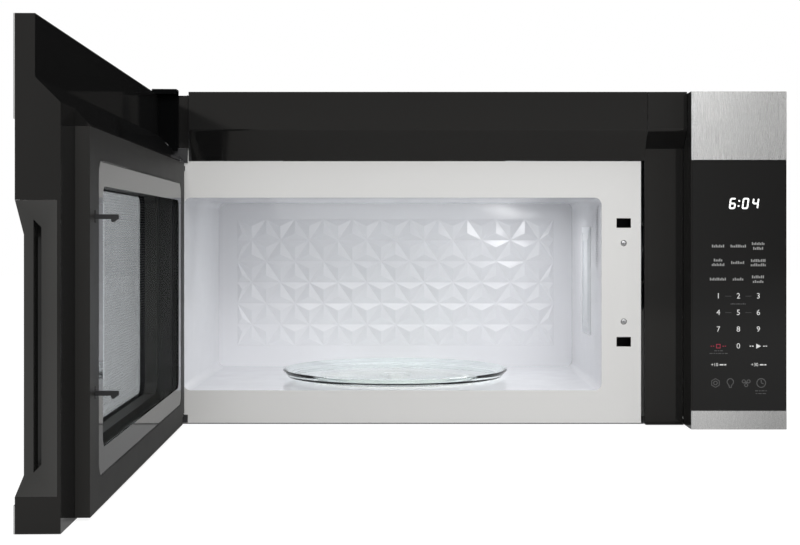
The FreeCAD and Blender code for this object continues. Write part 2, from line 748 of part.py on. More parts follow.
def charcoal_filter():
    """Charcoal cartridge behind the top trim, hung from the case's top."""
    y0, z1 = (front + 14, top - d.sheet - 0.1)
    slab = box((tray_x - 140, y0, z1 - 92), (tray_x + 140, y0 + 12, z1), "slab")
    cells = [box((tray_x - 132 + 33 * n, y0 - 1, z1 - 86 + 40 * m), (tray_x - 103 + 33 * n, y0 + 3, z1 - 50 + 40 * m))
             for n in range(8) for m in range(2)]
    return keep(cut(slab, cells), "charcoal_filter")


def trim_profile(tail):
    """Side outline of the top trim: upright face, crease, then the slope back to the frame."""
    w = d.trim_wall
    foot = frame_z1 + 0.4
    roof = top + d.trim_over
    return [(trim_y, roof), (trim_y, trim_z), (front - 0.2, foot), (front - 0.2, foot + 1.7 * w),
            (trim_y + w, trim_z + w * 0.4), (trim_y + w, roof - w), (tail, roof - w), (tail, roof)]


def vent_trim():
    """Glossy top trim with the air outlet in its top face, in front of the wall cabinet."""
    body = prism("YZ_Plane", trim_profile(front - 0.2), trim_x0, seam_x, "trim")
    creased = rounded(body, 5.0, lambda edge: runs(edge, Vector(1, 0, 0)) and at_crease(edge))
    pitch = (seam_x - trim_x0 - 38) / 24
    slots = [box((trim_x0 + 22 + pitch * n, trim_y + 6, top - 2 * d.trim_wall),
                 (trim_x0 + 6 + pitch * (n + 1), front - 5, top + d.trim_over + 1)) for n in range(24)]
    keel = prism("YZ_Plane", [(trim_y + 1.2, top - 1), (trim_y + 1.2, trim_z), (front - 0.2, frame_z1 + 2.4),
                              (front - 0.2, top - 1)], trim_x0, trim_x0 + d.trim_wall, "end")
    return keep(cut(fuse([creased, keel]), slots), "vent_trim")


def at_crease(edge):
    """Whether an edge is the trim's outer crease."""
    middle = edge.CenterOfMass
    return abs(middle.y - float(trim_y)) < 0.01 and abs(middle.z - float(trim_z)) < 0.01


def column_trim():
    """Right end of the top trim, which runs down as the column beside the controls."""
    w = d.trim_wall
    knee = top - d.column_knee
    roof = top + d.trim_over
    x0, x1 = seam_x + d.seam, panel_x0 - 0.4
    body = prism("YZ_Plane", [
        (trim_y, roof), (trim_y, trim_z), (front - 0.2, knee), (front - 0.2, low + inside + 0.1),
        (front - 0.2 + w, low + inside + 0.1), (front - 0.2 + w, knee + w), (trim_y + w + 1, trim_z + w),
        (trim_y + w, roof - w), (front - 0.2, roof - w), (front - 0.2, roof)], x0, x1, "column")
    creased = rounded(body, 5.0, lambda edge: runs(edge, Vector(1, 0, 0)) and at_crease(edge))
    return keep(creased, "column_trim")


glass_y0 = skin + d.glass_set
glass_y1 = glass_y0 + d.glass
band_z0 = low + d.low_band
band_z1 = top - d.top_band
shown = (panel_x0 + 38.5, panel_x0 + 88.5, band_z1 - 64.5, band_z1 - 40.5)


def control_panel_frame():
    """Black moulding that carries the touch glass, the bands and the boards."""
    w = d.panel_wall
    outer = box((panel_x0, skin + d.band_sheet, low), (right, front + d.sheet - 0.1, top), "shell")
    room = box((panel_x0 + w, glass_y1 + w, low + w), (right - w, front + 2 * d.sheet, top - w))
    recess = box((panel_x0 + 1.4, skin, band_z0 + 0.3), (right - 1.4, glass_y1, band_z1 - 0.3))
    eye = box((shown[0] - 0.3, skin, shown[2] - 0.3), (shown[1] + 0.3, glass_y1 + 9, shown[3] + 0.3))
    posts = [rod((panel_x0 + a, glass_y1 + w - 0.5, z), "y", 3.5, 10.5)
             for a in (20, 96) for z in (low + 60, band_z1 - 92)]
    return keep(fuse([cut(outer, [room, recess, eye])] + posts), "control_panel_frame")


def touch_glass():
    """Flat capacitive glass: nothing on it travels."""
    return keep(rounded_block((panel_x0 + 1.6, glass_y0, band_z0 + 0.6), (right - 1.6, glass_y1, band_z1 - 0.6),
                              1.2, Vector(0, 1, 0)), "touch_glass")


def band(x0, x1, z0, z1, label, on_door=False):
    """A stainless band with softened upright edges."""
    made = rounded(box((x0, skin, z0), (x1, skin + d.band_sheet, z1)), 0.6 * d.band_sheet,
                   lambda edge: runs(edge, Vector(0, 0, 1)) and abs(edge.CenterOfMass.y - skin) < 0.01)
    return keep(made, label, on_door)


def display_module():
    """Numeral display behind the glass, with its pins to the board."""
    x0, x1, z0, z1 = shown
    cell = box((x0, glass_y1 + 0.1, z0), (x1, glass_y1 + 8, z1), "cell")
    pins = [box((x0 + 5 + 9 * n, glass_y1 + 7, z0 + 2), (x0 + 6 + 9 * n, glass_y1 + d.panel_wall + 10, z0 + 3))
            for n in range(5)]
    return keep(fuse([cell] + pins), "display_module")


def control_board():
    """Control board on four posts, with its relays and the low-voltage transformer."""
    y = glass_y1 + d.panel_wall + 10
    board = box((panel_x0 + 12, y, low + 50), (panel_x0 + 104, y + 1.6, band_z1 - 37), "board")
    tall = [box((panel_x0 + a, y + 1.6, low + z), (panel_x0 + a + wide, y + 1.6 + out, low + z + high))
            for a, z, wide, high, out in ((24, 64, 34, 40, 26), (66, 64, 20, 16, 16), (66, 86, 20, 16, 16),
                                          (66, 108, 20, 16, 16), (24, 128, 14, 24, 12), (44, 200, 22, 22, 4))]
    return keep(fuse([board] + tall), "control_board")


def latch_board():
    """Plastic channel behind the latch slots that the hooks catch in."""
    y0, y1 = front + d.sheet, front + 34
    z0, z1 = latch_z[1] - 20, latch_z[0] + 20
    body = box((latch_x - 13, y0, z0), (latch_x + 13, y1, z1), "channel")
    room = [box((latch_x - 10, y0 - 1, z - 14), (latch_x + 10, y1 - 2.5, z + 14)) for z in latch_z]
    lean = box((latch_x - 10, y0 + 6, latch_z[1] + 17), (latch_x + 14, y1 + 1, latch_z[0] - 17))
    holes = [rod((latch_x, y0 - 1, z), "y", screw_shank, 12.0) for z in screw_z()]
    return keep(cut(body, room + [lean] + holes), "latch_board")


def interlock_switches():
    """Three door switches behind the latch channel."""
    y0 = front + 34
    pieces = []
    for z in (latch_z[0] + 6, latch_z[0] - 12, latch_z[1] - 2):
        body = box((latch_x - 9, y0, z - 5), (latch_x + 9, y0 + 16, z + 5), "switch")
        tabs = [box((latch_x + a, y0 + 15, z - 1.5), (latch_x + a + 0.8, y0 + 23, z + 1.5)) for a in (-6, 0, 6)]
        pieces.append(fuse([body] + tabs))
    return keep(group(pieces), "interlock_switches")


def frame_screws():
    """The two screws that hold the latch channel to the frame."""
    pieces = []
    for z in screw_z():
        head = cone((latch_x, front - 0.3, z), "y", screw_head - 0.8, screw_head, d.sheet + 0.3)
        shank = rod((latch_x, front + d.sheet - 0.2, z), "y", screw_shank - 0.1, 8.0)
        cross = [box((latch_x - a, front - 2.5, z - b), (latch_x + a, front + 0.6, z + b))
                 for a, b in ((2.0, 0.35), (0.35, 2.0))]
        pieces.append(cut(fuse([head, shank]), cross))
    return keep(group(pieces), "frame_screws")


def grease_filter(side, label):
    """Aluminium grease filter: folded frame, mesh mat with pressed waves, and a pull tab."""
    lo, hi = filter_box(side, 0)
    frame = box(lo, hi, "frame")
    mesh_low = box((lo[0] + 6, lo[1] + 6, lo[2] - 1), (hi[0] - 6, hi[1] - 6, lo[2] + 2.5))
    mesh_high = box((lo[0] + 6, lo[1] + 6, hi[2] - 2.5), (hi[0] - 6, hi[1] - 6, hi[2] + 1))
    tab = box((lo[0] + 98, lo[1] + 6, lo[2]), (lo[0] + 112, lo[1] + 16, lo[2] + 1))
    waves = [prism("YZ_Plane", [(lo[1] + 12 + 9.5 * n, lo[2] + 2.5), (lo[1] + 16.5 + 9.5 * n, lo[2] + 0.6),
                                (lo[1] + 21 + 9.5 * n, lo[2] + 2.5), (lo[1] + 16.5 + 9.5 * n, lo[2] + 3.5)],
                   lo[0] + 6, hi[0] - 6, "wave") for n in range(1, 10)]
    return keep(fuse([cut(frame, [mesh_low, mesh_high]), tab] + waves), label)


def cooktop_lamp_lenses():
    """Two clear lenses over the cooktop lamps, flush in the base."""
    pieces = []
    for side in (-1, 1):
        lo, hi = lens_box(side, 0)
        pane = box(lo, hi, "lens")
        hollow = box((lo[0] + 5, lo[1] + 5, lo[2] + 1.5), (hi[0] - 5, hi[1] - 5, hi[2] + 1))
        pieces.append(cut(pane, [hollow]))
    return keep(group(pieces), "cooktop_lamp_lenses")


def cooktop_lamps():
    """Reflector cup and lamp over each lens."""
    pieces = []
    for side in (-1, 1):
        lo, hi = lens_box(side, 0)
        rim = box((lo[0] - 4, lo[1] - 4, low + d.sheet), (hi[0] + 4, hi[1] + 4, hi[2] + 22))
        room = box((lo[0] - 2.5, lo[1] - 2.5, low), (hi[0] + 2.5, hi[1] + 2.5, hi[2] + 20))
        chip = cone((tray_x + side * 150, front + 55, hi[2] + 12), "z", 9.0, 14.0, 9.0)
        pieces.append(fuse([cut(rim, [room]), chip]))
    return keep(group(pieces), "cooktop_lamps")


def cord_gland():
    """Grommet in the cord hole of the top."""
    x, y = right - 62, -48.0
    r = d.cord_hole / 2
    body = fuse([rod((x, y, top - d.sheet), "z", r - 0.1, d.sheet),
                 rod((x, y, top - d.sheet - 4), "z", r + 4, 3.9),
                 rod((x, y, top - d.sheet - 1), "z", r - 0.1, 1.5)])
    return keep(cut(body, [rod((x, y, top - 10), "z", 9.0, 12.0)]), "cord_gland")


def line_filter_board():
    """Mains filter board hung under the top by its four posts."""
    x0, y0, z0 = panel_x0 + 14, -168.0, top - 46
    board = box((x0, y0, z0), (x0 + 84, y0 + 56, z0 + 1.6), "board")
    parts = [rod((x0 + 22, y0 + 28, z0 + 1.6), "z", 12.0, 16.0), rod((x0 + 54, y0 + 18, z0 + 1.6), "z", 6.0, 18.0),
             box((x0 + 62, y0 + 30, z0 + 1.6), (x0 + 80, y0 + 48, z0 + 15))]
    posts = [rod((x0 + a, y0 + b, z0 + 1), "z", 2.5, top - d.sheet - z0 - 1) for a in (5, 79) for b in (5, 51)]
    return keep(fuse([board] + parts + posts), "line_filter_board")


def cavity_lamp():
    """Cavity lamp: bracket on the cavity roof, socket and bulb."""
    x, y, z = cav_x1 - 52, front + 168, cav_z1 + d.cav_sheet
    hood = cut(box((x - 30, y - 26, z), (x + 30, y + 26, z + 34)),
               [box((x - 28.8, y - 24.8, z - 1), (x + 28.8, y + 30, z + 32.8))])
    socket = rod((x - 28.8, y, z + 17), "x", 11.0, 18.0)
    bulb = cone((x - 11, y, z + 17), "x", 7.0, 12.0, 12.0)
    tip = rod((x + 1, y, z + 17), "x", 12.0, 12.0)
    return keep(fuse([hood, socket, bulb, tip]), "cavity_lamp")


wheel_r = d.wheel_wide / 2 - 0.9
axle_z = well_z + wheel_r + 0.3
wheel_at = d.ring_wide / 2 + 14
tray_z = axle_z + wheel_r + 0.3
wheel_angles = (-30.0, 90.0, 210.0)


def turntable_motor():
    """Flat synchronous motor under the cavity, with its ears and shaft."""
    z1 = well_z - d.cav_sheet
    can = rod((tray_x, tray_y, z1 - 18.5), "z", 25.0, 16.0)
    ears = box((tray_x - 34, tray_y - 6, z1 - 2.5), (tray_x + 34, tray_y + 6, z1))
    tail = box((tray_x - 8, tray_y + 22, z1 - 16), (tray_x + 8, tray_y + 32, z1 - 6))
    neck = rod((tray_x, tray_y, z1 - 3), "z", 7.0, 3.0)
    shaft = rod((tray_x, tray_y, z1 - 3), "z", 3.0, 8.5)
    return keep(fuse([can, ears, tail, neck, shaft]), "turntable_motor")


def turntable_coupler():
    """Three-lobed driver on the motor shaft, which sits in the tray's boss."""
    z0 = well_z + 1.0
    disc = rod((tray_x, tray_y, z0), "z", 7.5, 4.0)
    lobes = []
    for n in range(3):
        lobe = doc.addObject("Part::Box", "lobe")
        lobe.Length, lobe.Width = 15.0, 6.0
        bind(lobe, "Height", tray_z - z0 - 2.5)
        turn = Rotation(Vector(0, 0, 1), 120.0 * n)
        offset = turn.multVec(Vector(0, -3, 0))
        lobe.Placement = Placement(offset, turn)
        bind(lobe, "Placement.Base.x", tray_x + offset.x)
        bind(lobe, "Placement.Base.y", tray_y + offset.y)
        bind(lobe, "Placement.Base.z", z0 + 2)
        lobes.append(lobe)
    bore = rod((tray_x, tray_y, z0 - 1), "z", 3.0 + d.running, 6.0)
    return keep(cut(fuse([disc] + lobes), [bore]), "turntable_coupler")


def glass_tray():
    """Round glass tray: flat floor, coved rim and the ring that centres it on the driver."""
    r = d.tray_wide / 2
    t = d.tray_thick
    tray = turned([(0.0, 0.0), (r - 14, 0.0), (r - 6, 2.2), (r, 10.0), (r - 1.6, 11.2), (r - 8.5, t + 1.6),
                   (r - 16, t), (0.0, t)], (tray_x, tray_y, tray_z), "dish")
    boss = cut(rod((tray_x, tray_y, tray_z - 2.4), "z", 21.0, 3.4),
               [rod((tray_x, tray_y, tray_z - 3), "z", 17.0, 3.0)])
    return keep(fuse([tray, boss]), "glass_tray")


def roller_ring():
    """Ring with three stub axles that carries the rollers under the tray."""
    r = d.ring_wide / 2
    ring = cut(rod((tray_x, tray_y, axle_z - 2.5), "z", r + 5, 5.0),
               [rod((tray_x, tray_y, axle_z - 3.5), "z", r - 5, 7.0)])
    stubs = []
    for angle in wheel_angles:
        stub = doc.addObject("Part::Cylinder", "stub")
        stub.Radius = 2.0
        bind(stub, "Height", wheel_at - r + 2)
        out = Vector(math.cos(math.radians(angle)), math.sin(math.radians(angle)), 0)
        stub.Placement = Placement(Vector(), Rotation(Vector(0, 0, 1), out))
        bind(stub, "Placement.Base.x", tray_x + (r + 2) * out.x)
        bind(stub, "Placement.Base.y", tray_y + (r + 2) * out.y)
        bind(stub, "Placement.Base.z", axle_z)
        stubs.append(stub)
    return keep(fuse([ring] + stubs), "roller_ring")


def roller_wheel(number):
    """One roller on its stub axle, with a rounded tread."""
    angle = wheel_angles[number - 1]
    out = Vector(math.cos(math.radians(angle)), math.sin(math.radians(angle)), 0)
    bore = Part.makeCylinder(2.0 + float(d.running), 8.0, Vector(0, 0, -4.0))
    body = Part.makeCylinder(float(wheel_r), 6.0, Vector(0, 0, -3.0))
    body = body.makeFillet(1.0, [edge for edge in body.Edges if edge.Curve.TypeId == "Part::GeomCircle"])
    made = feature(body.cut(bore), "roller")
    made.Placement = Placement(Vector(), Rotation(Vector(0, 0, 1), out))
    bind(made, "Placement.Base.x", tray_x + wheel_at * out.x)
    bind(made, "Placement.Base.y", tray_y + wheel_at * out.y)
    bind(made, "Placement.Base.z", axle_z)
    return keep(made, f"roller_wheel_{number}")


choke_z1 = top - d.choke_top
choke_z0 = low + d.choke_low
leaf_z = choke_z1 + d.leaf_gap
low_leaf_z = low + 9.0
notch_z = low_leaf_z + d.leaf + d.leaf_gap + 2.3


def hinge_bracket(z, flange_z0, flange_z1, label):
    """Steel hinge: a flange on the front frame and a leaf with the pin hole."""
    half = d.leaf_wide / 2
    hole = d.pin / 2 + d.running
    flange = box((left + inside + 0.2, front - 2, flange_z0), (pivot_x + 10.5, front, flange_z1), "flange")
    leaf = box((pivot_x - half, pivot_y, z), (pivot_x + half, front - 1, z + d.leaf))
    nose = rod((pivot_x, pivot_y, z), "z", half, d.leaf)
    bore = rod((pivot_x, pivot_y, z - 1), "z", hole, d.leaf + 2)
    return keep(cut(fuse([flange, leaf, nose]), [bore]), label)


def hinge_cover():
    """Black plate over the frame's ear above the hinge, with a folded edge beside the trim."""
    x0, x1 = left + inside, trim_x0 - 4.0
    z0, z1 = leaf_z + 18.3, top - 0.2
    plate = box((x0, front - d.cover_sheet, z0), (x1, front, z1), "plate")
    fold = box((x1 - d.cover_sheet, front - 6, z0), (x1, front, z1), "fold")
    return keep(fuse([plate, fold]), "hinge_cover")


def door_profile(inset):
    """Side outline of the door moulding: thin top, slope, then the full thickness."""
    face = skin + d.band_sheet
    thin = skin + d.door_top_thick - inset
    deep = edge_back - inset
    z1 = top - inset
    bend = top - d.door_top_flat
    return [(face if inset == 0 else face - 1, low + inset), (face if inset == 0 else face - 1, z1), (thin, z1),
            (thin, bend), (deep, bend - d.door_slope), (deep, low + inset)]


grip_x0 = door_x1 - d.grip_wide
grip_z0 = low + d.grip_low - d.grip_ramp
grip_z1 = low + d.grip_low + d.grip_tall + 0.8 * d.grip_ramp
pane_x0 = pivot_x + d.window_left
pane_x1 = door_x1 - d.window_side
pane_z0 = low + d.window_low
pane_z1 = top - d.window_top
hook_slot = (d.hook_thick / 2 + 0.6, d.hook_tall / 2 + 0.6, d.hook_tall / 2 + d.hook_travel + 0.6)


def hook_slots(y0, y1):
    """Slots for both hooks and their travel."""
    wide, below, above = hook_slot
    return [box((latch_x - wide, y0, z - below - d.hook_drop), (latch_x + wide, y1, z + above)) for z in latch_z]


def door_frame():
    """Door moulding: a channel all round, open to the front for the glass."""
    w = d.door_wall
    x0 = pivot_x - (d.pivot_in - d.side_strip)
    main = prism("YZ_Plane", door_profile(0.0), x0, door_x1, "door_main")
    face = skin + d.band_sheet
    thin = skin + d.door_top_thick
    strip_y = skin + d.side_strip_thick
    bend = top - d.door_top_flat
    strip = prism("YZ_Plane", [(face, low), (face, top), (thin, top), (thin, bend),
                               (strip_y, bend - (d.side_strip_thick - d.door_top_thick)), (strip_y, low)],
                  left, x0 + 1, "strip")
    room = prism("YZ_Plane", door_profile(w), x0 + w, door_x1 - w, "room")
    ridge_z = bend - d.door_slope
    ridge = prism("YZ_Plane", [(edge_back - 1, ridge_z), (edge_back - 1, choke_z1 + 0.2),
                               (door_back - 0.2, choke_z1 + 0.2), (door_back - 0.2, choke_z1 + 1.2),
                               (edge_back, ridge_z)], pivot_x + d.ridge_left, frame_x1 - 0.9, "ridge")
    strip_room = box((left + w, skin, low + w), (x0 + w + 1, thin - w, top - w))
    glass_room = box((left + 1.2, skin, band_z0 + 0.3), (door_x1 - 1.2, glass_y1, band_z1 - 0.3))
    view = box((pane_x0 - 1.5, skin, pane_z0 - 1.5), (pane_x1 + 1.5, front, pane_z1 + 1.5))
    grip = box((grip_x0 - 0.1, skin, grip_z0 - 0.1), (door_x1 + 1, edge_back - w - 0.1, grip_z1 + 0.1))
    leaves = [rod((pivot_x, pivot_y, z - 1.5), "z", d.leaf_wide / 2 + 3, d.leaf + 3) for z in (leaf_z, low_leaf_z)]
    return keep(cut(fuse([main, strip, ridge]), [room, strip_room, glass_room, view, grip] + leaves
                    + hook_slots(edge_back - 2 * w, front)), "door_frame", True)


def door_glass():
    """Dark outer glass, cut out beside the handle."""
    x0, x1 = left + 1.4, door_x1 - 1.4
    z0, z1 = band_z0 + 0.6, band_z1 - 0.6
    notch = grip_x0 - 0.4
    return keep(prism("XZ_Plane", [
        (x0, z0), (x1, z0), (x1, grip_z0 - 0.4), (notch, grip_z0 - 0.4), (notch, grip_z1 + 0.4),
        (x1, grip_z1 + 0.4), (x1, z1), (x0, z1)], glass_y0, glass_y1, "pane"), "door_glass", True)


def door_handle():
    """Pull: scooped hollow at the door's free edge, with a lip that the fingers go behind."""
    y1 = edge_back - d.door_wall - 0.2
    lip_y = skin + d.grip_deep
    lip_x = door_x1 - d.lip_wide
    block = box((grip_x0, glass_y0, grip_z0), (door_x1, y1, grip_z1), "block")
    scoop = prism("YZ_Plane", [
        (skin - 1, grip_z0 + 0.1), (glass_y0 + 0.01, grip_z0 + 0.1), (lip_y, low + d.grip_low - 2),
        (lip_y, low + d.grip_low + d.grip_tall - 12), (glass_y0 + 0.01, grip_z1 - 0.1), (skin - 1, grip_z1 - 0.1)],
        grip_x0 + 3, door_x1 + 1, "scoop")
    z0 = low + d.grip_low
    z1 = z0 + d.grip_tall
    mouth = box((grip_x0 + 4, skin, z0 + 2), (lip_x, y1 - d.door_wall, z1 - 14))
    slot_y = lip_y + d.lip_thick
    slot = prism("YZ_Plane", [(slot_y, z0), (slot_y, z1), (slot_y + d.slot_wide, z1 - d.slot_wide),
                              (slot_y + d.slot_wide, z0 + d.slot_wide)], lip_x - 1, door_x1 + 1, "slot")
    return keep(cut(block, [scoop, mouth, slot]), "door_handle", True)


def choke_frame():
    """Inner door frame: rim, stepped well down to the screen, and the hinge knuckle."""
    y0, y1 = edge_back + 0.1, door_back
    rim = box((pivot_x, y0, choke_z0), (frame_x1 - 0.9, y1, choke_z1), "rim")
    knuckle = cut(rod((pivot_x, pivot_y, choke_z0), "z", d.knuckle, choke_z1 - choke_z0),
                  [box((pivot_x - 10, y0 - 10, choke_z0 - 1), (pivot_x + 10, y0, choke_z1 + 1))])
    notch = box((pivot_x - 10, y0 - 1, choke_z0 - 1), (pivot_x + 14, y1 + 1, notch_z))
    screen_y = skin + d.screen_back
    steps = []
    wells = []
    for level, (deep, inset) in enumerate(((0.55, 0.0), (1.0, 1.0 / 3))):
        back = y0 + (screen_y - y0) * deep
        steps.append(box((pane_x0 + d.funnel_side * inset, back, pane_z0 + d.funnel_rise * inset),
                         (pane_x1 - d.funnel_side * inset, y0 + 2, pane_z1 - d.funnel_rise * inset)))
    for deep, inset in ((-0.1, 0.12), (0.47, 0.4), (1.1, 0.85)):
        back = y0 + (screen_y - y0) * deep
        wells.append(rounded_block(
            (pane_x0 + d.funnel_side * inset, back, pane_z0 + d.funnel_rise * inset),
            (pane_x1 - d.funnel_side * inset, y1 + 1, pane_z1 - d.funnel_rise * inset), 14.0, Vector(0, 1, 0)))
    seat = rounded_block((pane_x0, y1 - d.pane - 0.1, pane_z0), (pane_x1, y1 + 1, pane_z1), 14.0, Vector(0, 1, 0))
    pins = [rod((pivot_x, pivot_y, z), "z", d.pin / 2, 14.0) for z in (choke_z1 - 13, notch_z - 1)]
    return keep(cut(fuse([rim, knuckle] + steps), wells + [seat, notch] + pins + hook_slots(y0 - 1, y1 + 1)),
                "choke_frame", True)


def door_screen():
    """Metal screen across the bottom of the door's stepped well."""
    y1 = skin + d.screen_back
    a = 0.5
    return keep(box((pane_x0 + d.funnel_side * a, y1 - 0.8, pane_z0 + d.funnel_rise * a),
                    (pane_x1 - d.funnel_side * a, y1, pane_z1 - d.funnel_rise * a), "sheet"), "door_screen", True)


def inner_window():
    """Clear inner pane, flush with the inner door frame."""
    return keep(rounded_block((pane_x0 + 0.2, door_back - d.pane - 0.1, pane_z0 + 0.2),
                              (pane_x1 - 0.2, door_back - 0.1, pane_z1 - 0.2), 13.8, Vector(0, 1, 0)),
                "inner_window", True)


def latch_hooks():
    """Both latch hooks on the bar that lifts them together."""
    half = d.hook_thick / 2
    tip = door_back + d.hook_reach
    bar_y = edge_back - d.door_wall - 1.0
    bar = box((latch_x - 5, bar_y - 3, latch_z[1] - 14), (latch_x + 5, bar_y, latch_z[0] + 14), "bar")
    hooks = []
    for z in latch_z:
        hooks.append(box((latch_x - half, bar_y - 1, z - d.hook_tall / 2), (latch_x + half, tip, z + d.hook_tall / 2)))
        hooks.append(prism("YZ_Plane", [(tip - 7, z), (tip - 6, z - d.hook_tall / 2 - d.hook_drop),
                                        (tip - 4, z - d.hook_tall / 2 - d.hook_drop), (tip, z - d.hook_tall / 2 + 0.5),
                                        (tip, z)], latch_x - half, latch_x + half, "nose"))
    return keep(fuse([bar] + hooks), "latch_hooks", True)


def hinge_pins():
    """Upper and lower hinge pins, pressed into the inner door frame."""
    upper = rod((pivot_x, pivot_y, choke_z1 - 13), "z", d.pin / 2, 13 + d.leaf_gap + d.leaf + 1.2)
    lower = rod((pivot_x, pivot_y, low_leaf_z - 1.2), "z", d.pin / 2, notch_z - low_leaf_z + 1.2 + 13)
    return keep(group([upper, lower]), "hinge_pins", True)


def hinge_cap():
    """Cover over the upper hinge: a rounded plate on top of the door and the upright below it."""
    y0 = skin + d.door_top_thick + 0.1
    x0 = pivot_x - (d.pivot_in - d.side_strip)
    z0 = top - d.door_top_flat - d.door_slope + 0.5
    plate = rounded_block((x0 - d.cap_over, y0 - d.cap_over, top), (x0 + d.cap_wide, pivot_y - 0.5, top + d.cap_tall),
                          3.0, Vector(0, 0, 1))
    upright = prism("YZ_Plane", [(y0, top + 1), (y0, top - d.door_top_flat), (pivot_y - 5.5, z0),
                                 (pivot_y - 1, z0), (pivot_y - 1, top + 1)], x0, x0 + 2.2, "upright")
    return keep(fuse([plate, upright]), "hinge_cap", True)


def build():
    """Makes every sub-part in turn."""
    for make in (outer_case, back_plate, base_plate, front_frame, cavity_liner, cavity_back, waveguide_cover,
                 waveguide, magnetron, power_transformer, capacitor, diode, cooling_fan_shroud,
                 cooling_fan_motor, cooling_fan_blade, blower_housing, blower_motor, blower_wheels,
                 charcoal_filter, vent_trim, column_trim, control_panel_frame, touch_glass, display_module,
                 control_board, latch_board, interlock_switches, frame_screws, cooktop_lamp_lenses,
                 cooktop_lamps, cord_gland, line_filter_board, cavity_lamp, turntable_motor,
                 turntable_coupler, glass_tray, roller_ring, door_frame, door_glass, door_handle,
                 choke_frame, door_screen, inner_window, latch_hooks, hinge_pins, hinge_cap, hinge_cover):
        make()
    band(panel_x0, right, band_z1, top, "panel_top_band")
    band(panel_x0, right, low, band_z0, "panel_low_band")
    band(left, door_x1, band_z1, top, "door_top_band", True)
    band(left, door_x1, low, band_z0, "door_low_band", True)
    grease_filter(-1, "grease_filter_left")
    grease_filter(1, "grease_filter_right")
    hinge_bracket(leaf_z, leaf_z, leaf_z + 18, "upper_hinge_bracket")
    hinge_bracket(low_leaf_z, low + 2.0, low_leaf_z + d.leaf, "lower_hinge_bracket")
    for number in (1, 2, 3):
        roller_wheel(number)


def check_and_write():
    """Recomputes, stops on any fault, then writes one STEP file for each sub-part."""
    doc.recompute()
    for item in doc.Objects:
        if "Invalid" in item.State or "Error" in item.State:
            raise RuntimeError(f"{item.Label} ({item.Name}) is {item.State}")
    os.makedirs("parts", exist_ok=True)
    for piece in finished:
        shape = piece.Shape
        if shape.isNull() or not shape.isValid() or not shape.Solids:
            raise RuntimeError(f"{piece.Label} has no valid solid")
        shape.exportStep(os.path.join("parts", f"{piece.Label}.step"))
        print(f"{piece.Label}: {len(shape.Solids)} solid, {shape.Volume / 1000:.1f} cm3")
    print(len(finished), "sub-parts")


build()
check_and_write()
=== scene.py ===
import math
import bmesh
import bpy
from mathutils import Matrix, Vector


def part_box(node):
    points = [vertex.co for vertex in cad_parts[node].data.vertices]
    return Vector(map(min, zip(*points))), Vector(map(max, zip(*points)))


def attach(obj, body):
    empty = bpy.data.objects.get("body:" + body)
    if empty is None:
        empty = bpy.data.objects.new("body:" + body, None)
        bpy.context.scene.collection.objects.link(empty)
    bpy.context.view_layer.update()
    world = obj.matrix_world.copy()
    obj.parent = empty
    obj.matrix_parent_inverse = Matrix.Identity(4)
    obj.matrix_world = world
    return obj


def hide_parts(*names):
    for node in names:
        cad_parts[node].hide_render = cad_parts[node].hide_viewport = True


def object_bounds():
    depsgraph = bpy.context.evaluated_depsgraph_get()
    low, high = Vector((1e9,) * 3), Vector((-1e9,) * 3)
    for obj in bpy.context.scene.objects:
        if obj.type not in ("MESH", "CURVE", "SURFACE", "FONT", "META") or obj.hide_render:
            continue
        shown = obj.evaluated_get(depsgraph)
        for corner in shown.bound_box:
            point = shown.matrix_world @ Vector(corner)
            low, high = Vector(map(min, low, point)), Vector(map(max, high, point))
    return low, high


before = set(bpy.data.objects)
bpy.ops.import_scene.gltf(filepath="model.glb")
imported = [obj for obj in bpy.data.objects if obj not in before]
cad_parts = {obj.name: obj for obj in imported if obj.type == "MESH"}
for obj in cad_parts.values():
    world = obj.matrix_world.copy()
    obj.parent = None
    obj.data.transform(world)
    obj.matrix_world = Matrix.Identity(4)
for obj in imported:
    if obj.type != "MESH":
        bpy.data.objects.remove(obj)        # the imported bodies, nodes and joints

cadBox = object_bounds()
print("frame loaded:", len(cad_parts), "nodes")

# the door stands open at rest: what is drawn on the shut door is swung out about its hinge
doorSwing = {"pivotX": -0.3655, "pivotY": -0.3576, "degrees": -88.3}


# shader building blocks
def newGroup(name, inputs, outputs):
    tree = bpy.data.node_groups.new(name, "ShaderNodeTree")
    for label, kind, start in inputs:
        socket = tree.interface.new_socket(name=label, in_out="INPUT", socket_type=kind)
        socket.default_value = start
    for label, kind in outputs:
        tree.interface.new_socket(name=label, in_out="OUTPUT", socket_type=kind)
    return tree, tree.nodes.new("NodeGroupInput"), tree.nodes.new("NodeGroupOutput")


def setOrLink(tree, socket, value):
    if isinstance(value, (int, float)):
        socket.default_value = value
    else:
        tree.links.new(value, socket)


def mathNode(tree, operation, first, second=None, clamp=False):
    node = tree.nodes.new("ShaderNodeMath")
    node.operation = operation
    node.use_clamp = clamp
    setOrLink(tree, node.inputs[0], first)
    if second is not None:
        setOrLink(tree, node.inputs[1], second)
    return node.outputs[0]


def vectorNode(tree, x=0.0, y=0.0, z=0.0):
    node = tree.nodes.new("ShaderNodeCombineXYZ")
    for socket, value in zip(node.inputs, (x, y, z)):
        setOrLink(tree, socket, value)
    return node.outputs[0]


def noiseNode(tree, vector, scale, detail=3.0, rough=0.5):
    node = tree.nodes.new("ShaderNodeTexNoise")
    node.inputs["Detail"].default_value = detail
    node.inputs["Roughness"].default_value = rough
    setOrLink(tree, node.inputs["Scale"], scale)
    tree.links.new(vector, node.inputs["Vector"])
    return node.outputs["Fac"]


def rampNode(tree, value, low, high, outLow=0.0, outHigh=1.0):
    node = tree.nodes.new("ShaderNodeMapRange")
    for label, number in zip(("From Min", "From Max", "To Min", "To Max"), (low, high, outLow, outHigh)):
        setOrLink(tree, node.inputs[label], number)
    tree.links.new(value, node.inputs["Value"])
    return node.outputs["Result"]


